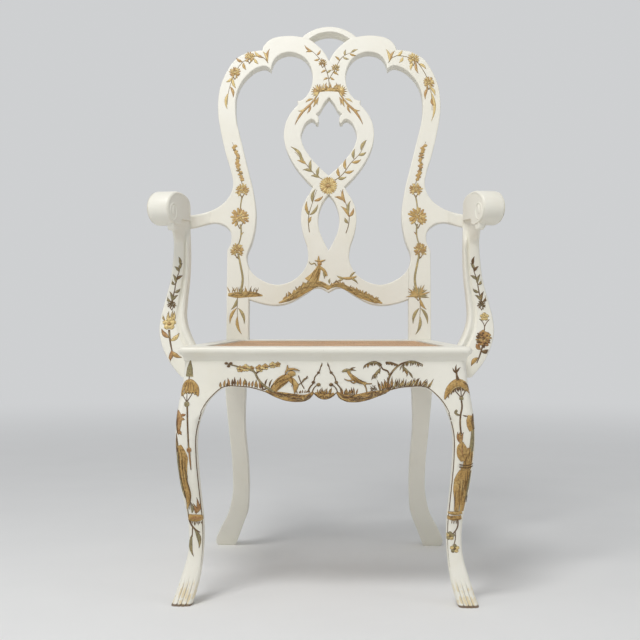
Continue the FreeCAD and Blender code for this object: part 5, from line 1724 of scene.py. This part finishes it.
def gilt_paint():
    """Gilt with dark outlines, on the lower half of the chair."""
    return gilt_finish("gilt_paint", 0.9, 0.6, 0)


def pale_gilt():
    """Gilt on the back: fainter outlines, less dark mottling and mottling lifted towards straw, a painted
    glare of strong light.
    """
    return gilt_finish("pale_gilt", 0.45, 0.25, 0.25)


def split_cane():
    """Split cane: reddish tan strands, streaked lengthwise and darker here and there, with a low shine."""
    made, shader, place = finish_tree("split_cane")
    cane = colours().cane
    broad = place.noise(22, 4).step(0.35, 0.75)
    fine = place.noise(900, 2)
    base = (broad * 0.6).mix(cane, scaled(cane, 1.55))
    base = (fine.step(0.55, 0.75) * 0.5).mix(base, scaled(cane, 0.55))
    attach(shader, Base_Color=base, Roughness=0.36 + 0.25 * fine)
    return made


WOOD_HUES = ((0.50, 0.34, 0.19), (0.36, 0.22, 0.11), (0.58, 0.42, 0.25))
STEEL_HUES = ((0.42, 0.42, 0.43), (0.62, 0.62, 0.63))


def bare_wood():
    """Unpainted wood of the hidden blocks and dowels: straight grain with darker growth lines."""
    made, shader, place = finish_tree("bare_wood")
    long_way = place.node("ShaderNodeMapping", {}, {"Vector": place, "Scale": (9, 70, 70)})
    grain = long_way.noise(3, 6, 0.6)
    waves = {"Vector": long_way, "Scale": 1.2, "Distortion": 6, "Detail": 3}
    lines = place.node("ShaderNodeTexWave", {}, waves, "Fac")
    base = (lines * 0.55).mix(*WOOD_HUES[:2])
    base = (grain.step(0.5, 0.8) * 0.5).mix(base, WOOD_HUES[2])
    attach(shader, Base_Color=base, Roughness=0.55 + 0.2 * grain)
    return made


def screw_steel():
    """Plain steel, finely scratched."""
    made, shader, place = finish_tree("screw_steel", {"Metallic": 1.0})
    scratch = place.noise(700)
    attach(shader, Base_Color=scratch.mix(*STEEL_HUES), Roughness=0.28 + 0.22 * scratch)
    return made


def finish(maker):
    """The material that a function makes and gives its own name, made once."""
    return bpy.data.materials.get(maker.__name__) or maker()


# Stage, in metres

FLOOR_REACH = 30.0
FLOOR_SHADE = 0.95
FLOOR_FADE = (0.9, 4.5)
SKY_HUE = (0.95, 0.97, 1.0)
SENSOR = 36.0
AIM = Vector((0, 0, 0.5))
# Name, setting of the power, place and width of each lamp
LAMPS = (("key", "key", (-0.9, -2.0, 3.5), 1.3), ("fill_left", "fill", (-2.8, -1.6, 1.4), 1.6),
         ("fill_right", "fill", (2.8, -1.8, 1.5), 1.6))


def lay_floor(scene):
    """A wide pale floor that turns into the backdrop with distance, for the rays that show it."""
    look = colours()
    mesh = bpy.data.meshes.new("floor")
    corners = [(x * FLOOR_REACH, y * FLOOR_REACH, 0) for x, y in ((-1, -1), (1, -1), (1, 1), (-1, 1))]
    mesh.from_pydata(corners, [], [(0, 1, 2, 3)])
    floor = bpy.data.objects.new("floor", mesh)
    scene.collection.objects.link(floor)
    made, shader, place = finish_tree("pale_floor", {"Roughness": 0.8})
    attach(shader, Base_Color=place.noise(5, 5).mix(look.floor, scaled(look.floor, FLOOR_SHADE)))
    away = place.node("ShaderNodeVectorMath", {"operation": "LENGTH"}, {0: place}, "Value")
    backdrop = {"Color": (*look.backdrop, 1.0), "Strength": 1.0}
    glow = place.node("ShaderNodeEmission", {}, backdrop, "Emission")
    near = Wire(place.tree, shader.outputs[0])
    layers = {0: away.step(*FLOOR_FADE) * place.shown(), 1: near, 2: glow}
    far = place.node("ShaderNodeMixShader", {}, layers, "Shader")
    attach(made.node_tree.nodes["Material Output"], Surface=far)
    mesh.materials.append(made)


def light_studio(scene):
    """Light from all round, with the backdrop where it is seen, and three lamps turned to the chair."""
    sizes = scene.armchair_stage
    world = bpy.data.worlds.new("studio")
    world.use_nodes = True
    ground = world.node_tree.nodes["Background"]
    light = [part * sizes.sky for part in SKY_HUE]
    attach(ground, Color=Wire(world.node_tree).shown().mix(light, colours().backdrop))
    ground.inputs["Strength"].default_value = 1.0
    scene.world = world
    for name, setting, spot, wide in LAMPS:
        lamp = bpy.data.lights.new(name, "AREA")
        lamp.shape = "DISK"
        lamp.size = wide
        lamp.energy = getattr(sizes, setting)
        thing = bpy.data.objects.new(name, lamp)
        thing.location = spot
        thing.rotation_euler = (AIM - Vector(spot)).to_track_quat("-Z", "Y").to_euler()
        scene.collection.objects.link(thing)


def place_camera(scene):
    """The camera of the photo."""
    sizes = scene.armchair_stage
    camera = bpy.data.cameras.new("camera")
    camera.lens = sizes.lens
    camera.sensor_width = SENSOR
    viewer = bpy.data.objects.new("camera", camera)
    viewer.location = sizes.camera_at
    viewer.rotation_euler = (math.pi / 2 - sizes.pitch_down, 0, sizes.yaw)
    scene.collection.objects.link(viewer)
    scene.camera = viewer


# Operators

# Name, seed, sides, drawing, face and finish of each ornament; the back's gilt carries a painted glare
ORNAMENT = (
    ("gilt_stiles", 11, (-1, 1), stile_drawing, on_back, pale_gilt),
    ("gilt_crest", 12, (1,), crest_drawing, on_back, pale_gilt),
    ("gilt_splat", 13, (1,), splat_drawing, on_back, pale_gilt),
    ("gilt_lower_rail", 14, (1,), rail_drawing, on_back, pale_gilt),
    ("gilt_apron", 15, (1,), apron_drawing, on_apron, gilt_paint),
    ("gilt_legs", 16, (-1, 1), leg_drawing, on_leg, gilt_paint),
    ("gilt_stumps", 17, (-1, 1), stump_drawing, on_stump, gilt_paint))


class ARMCHAIR_OT_back(Operator):
    """Posts, crest hoops, bow, splat and lower rail of the back"""

    bl_idname = "armchair.back"
    bl_label = "Back"

    def execute(self, context):
        painted_pair("painted_post", post_shape(), "rear_post")
        painted_pair("painted_hoop", hoop_shape(), "crest_hoop")
        painted("painted_bow", bow_shape(), "crest_arch")
        painted("painted_splat", splat_shape(), "back_splat")
        painted("painted_lower_rail", lower_rail_shape(), "lower_back_rail")
        return {"FINISHED"}


class ARMCHAIR_OT_arms(Operator):
    """Scrolled arms and their moulded stumps"""

    bl_idname = "armchair.arms"
    bl_label = "Arms"

    def execute(self, context):
        arm = joined([arm_shape(), lip_shape(), volute_shape(0), volute_shape(1)])
        # The paint reads none of the marks that the strokes of the scroll carry.
        arm.marks = {}
        painted_pair("painted_arm", arm, "arm")
        painted_pair("painted_stump", stump_shape(), "arm_stump")
        return {"FINISHED"}


class ARMCHAIR_OT_legs(Operator):
    """Cabriole front legs and their knee brackets"""

    bl_idname = "armchair.legs"
    bl_label = "Front legs"

    def execute(self, context):
        front, side = ear_shapes()
        painted_pair("painted_leg", front_leg_shape(), "front_leg")
        painted_pair("painted_bracket_front", front, "knee_bracket_front")
        painted_pair("painted_bracket_side", side, "knee_bracket_side")
        return {"FINISHED"}


class ARMCHAIR_OT_rails(Operator):
    """Apron, side rails and rear rail under the seat"""

    bl_idname = "armchair.rails"
    bl_label = "Rails"

    def execute(self, context):
        painted("painted_apron", apron_shape(), "front_rail")
        painted_pair("painted_side_rail", side_rail_shape(), "side_rail")
        painted("painted_rear_rail", rear_rail_shape(), "rear_rail")
        return {"FINISHED"}


class ARMCHAIR_OT_seat(Operator):
    """Moulded seat frame"""

    bl_idname = "armchair.seat"
    bl_label = "Seat frame"

    def execute(self, context):
        front, left, rear = frame_shapes()
        painted("painted_seat_front", front, "seat_frame_front")
        painted_pair("painted_seat", left, "seat_frame")
        painted("painted_seat_rear", rear, "seat_frame_rear")
        return {"FINISHED"}


class ARMCHAIR_OT_cane(Operator):
    """Woven cane and the reed round it"""

    bl_idname = "armchair.cane"
    bl_label = "Cane"

    def execute(self, context):
        piece("woven_cane", cane_shape(), finish(split_cane), ["cane_panel"])
        piece("cane_reed", spline_shape(), finish(split_cane), ["cane_spline"])
        return {"FINISHED"}


class ARMCHAIR_OT_hidden(Operator):
    """Bare wood and steel on the blocks, dowels and screws of the frame"""

    bl_idname = "armchair.hidden"
    bl_label = "Hidden pieces"

    def execute(self, context):
        for name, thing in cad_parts.items():
            steel = name.endswith("screws")
            if steel or name.endswith("dowels") or name.startswith("corner_block"):
                thing.data.materials.clear()
                thing.data.materials.append(finish(screw_steel if steel else bare_wood))
        return {"FINISHED"}


class ARMCHAIR_OT_ornament(Operator):
    """Gilt plants, figures and animals on the back, apron, legs and stumps"""

    bl_idname = "armchair.ornament"
    bl_label = "Gilt ornament"

    def execute(self, context):
        for name, seed, sides, drawing, place, gilt in ORNAMENT:
            brush = Brush(seed)
            for side in sides:
                brush.side = side
                drawing(brush)
            piece(name, brush.shape(place), finish(gilt))
        return {"FINISHED"}


class ARMCHAIR_OT_stage(Operator):
    """Pale floor, soft lamps and the camera"""

    bl_idname = "armchair.stage"
    bl_label = "Stage"

    def execute(self, context):
        lay_floor(context.scene)
        light_studio(context.scene)
        place_camera(context.scene)
        context.scene.view_settings.view_transform = "Standard"
        return {"FINISHED"}


GROUPS = {"armchair_wood": WoodSizes, "armchair_cane": CaneSizes, "armchair_colours": Colours,
          "armchair_stage": StageSizes}
STEPS = (ARMCHAIR_OT_back, ARMCHAIR_OT_arms, ARMCHAIR_OT_legs, ARMCHAIR_OT_rails, ARMCHAIR_OT_seat,
         ARMCHAIR_OT_cane, ARMCHAIR_OT_hidden, ARMCHAIR_OT_ornament, ARMCHAIR_OT_stage)


class ARMCHAIR_PT_panel(Panel):
    """Lists the steps that build the armchair"""

    bl_idname = "ARMCHAIR_PT_panel"
    bl_label = "Painted armchair"
    bl_space_type = "VIEW_3D"
    bl_region_type = "UI"
    bl_category = "Armchair"

    def draw(self, context):
        for step in STEPS:
            self.layout.operator(step.bl_idname)
        for name, group in GROUPS.items():
            box = self.layout.box()
            for setting in group.__annotations__:
                box.prop(getattr(context.scene, name), setting)


def register():
    for group in GROUPS.values():
        bpy.utils.register_class(group)
    for name, group in GROUPS.items():
        setattr(bpy.types.Scene, name, PointerProperty(type=group))
    for step in STEPS:
        bpy.utils.register_class(step)
    bpy.utils.register_class(ARMCHAIR_PT_panel)


def unregister():
    bpy.utils.unregister_class(ARMCHAIR_PT_panel)
    for step in reversed(STEPS):
        bpy.utils.unregister_class(step)
    for name, group in GROUPS.items():
        delattr(bpy.types.Scene, name)
        bpy.utils.unregister_class(group)


def main():
    register()
    bpy.ops.armchair.back()
    bpy.ops.armchair.arms()
    bpy.ops.armchair.legs()
    bpy.ops.armchair.rails()
    bpy.ops.armchair.seat()
    bpy.ops.armchair.cane()
    bpy.ops.armchair.hidden()
    bpy.ops.armchair.ornament()
    bpy.ops.armchair.stage()


if __name__ == "__main__":
    main()
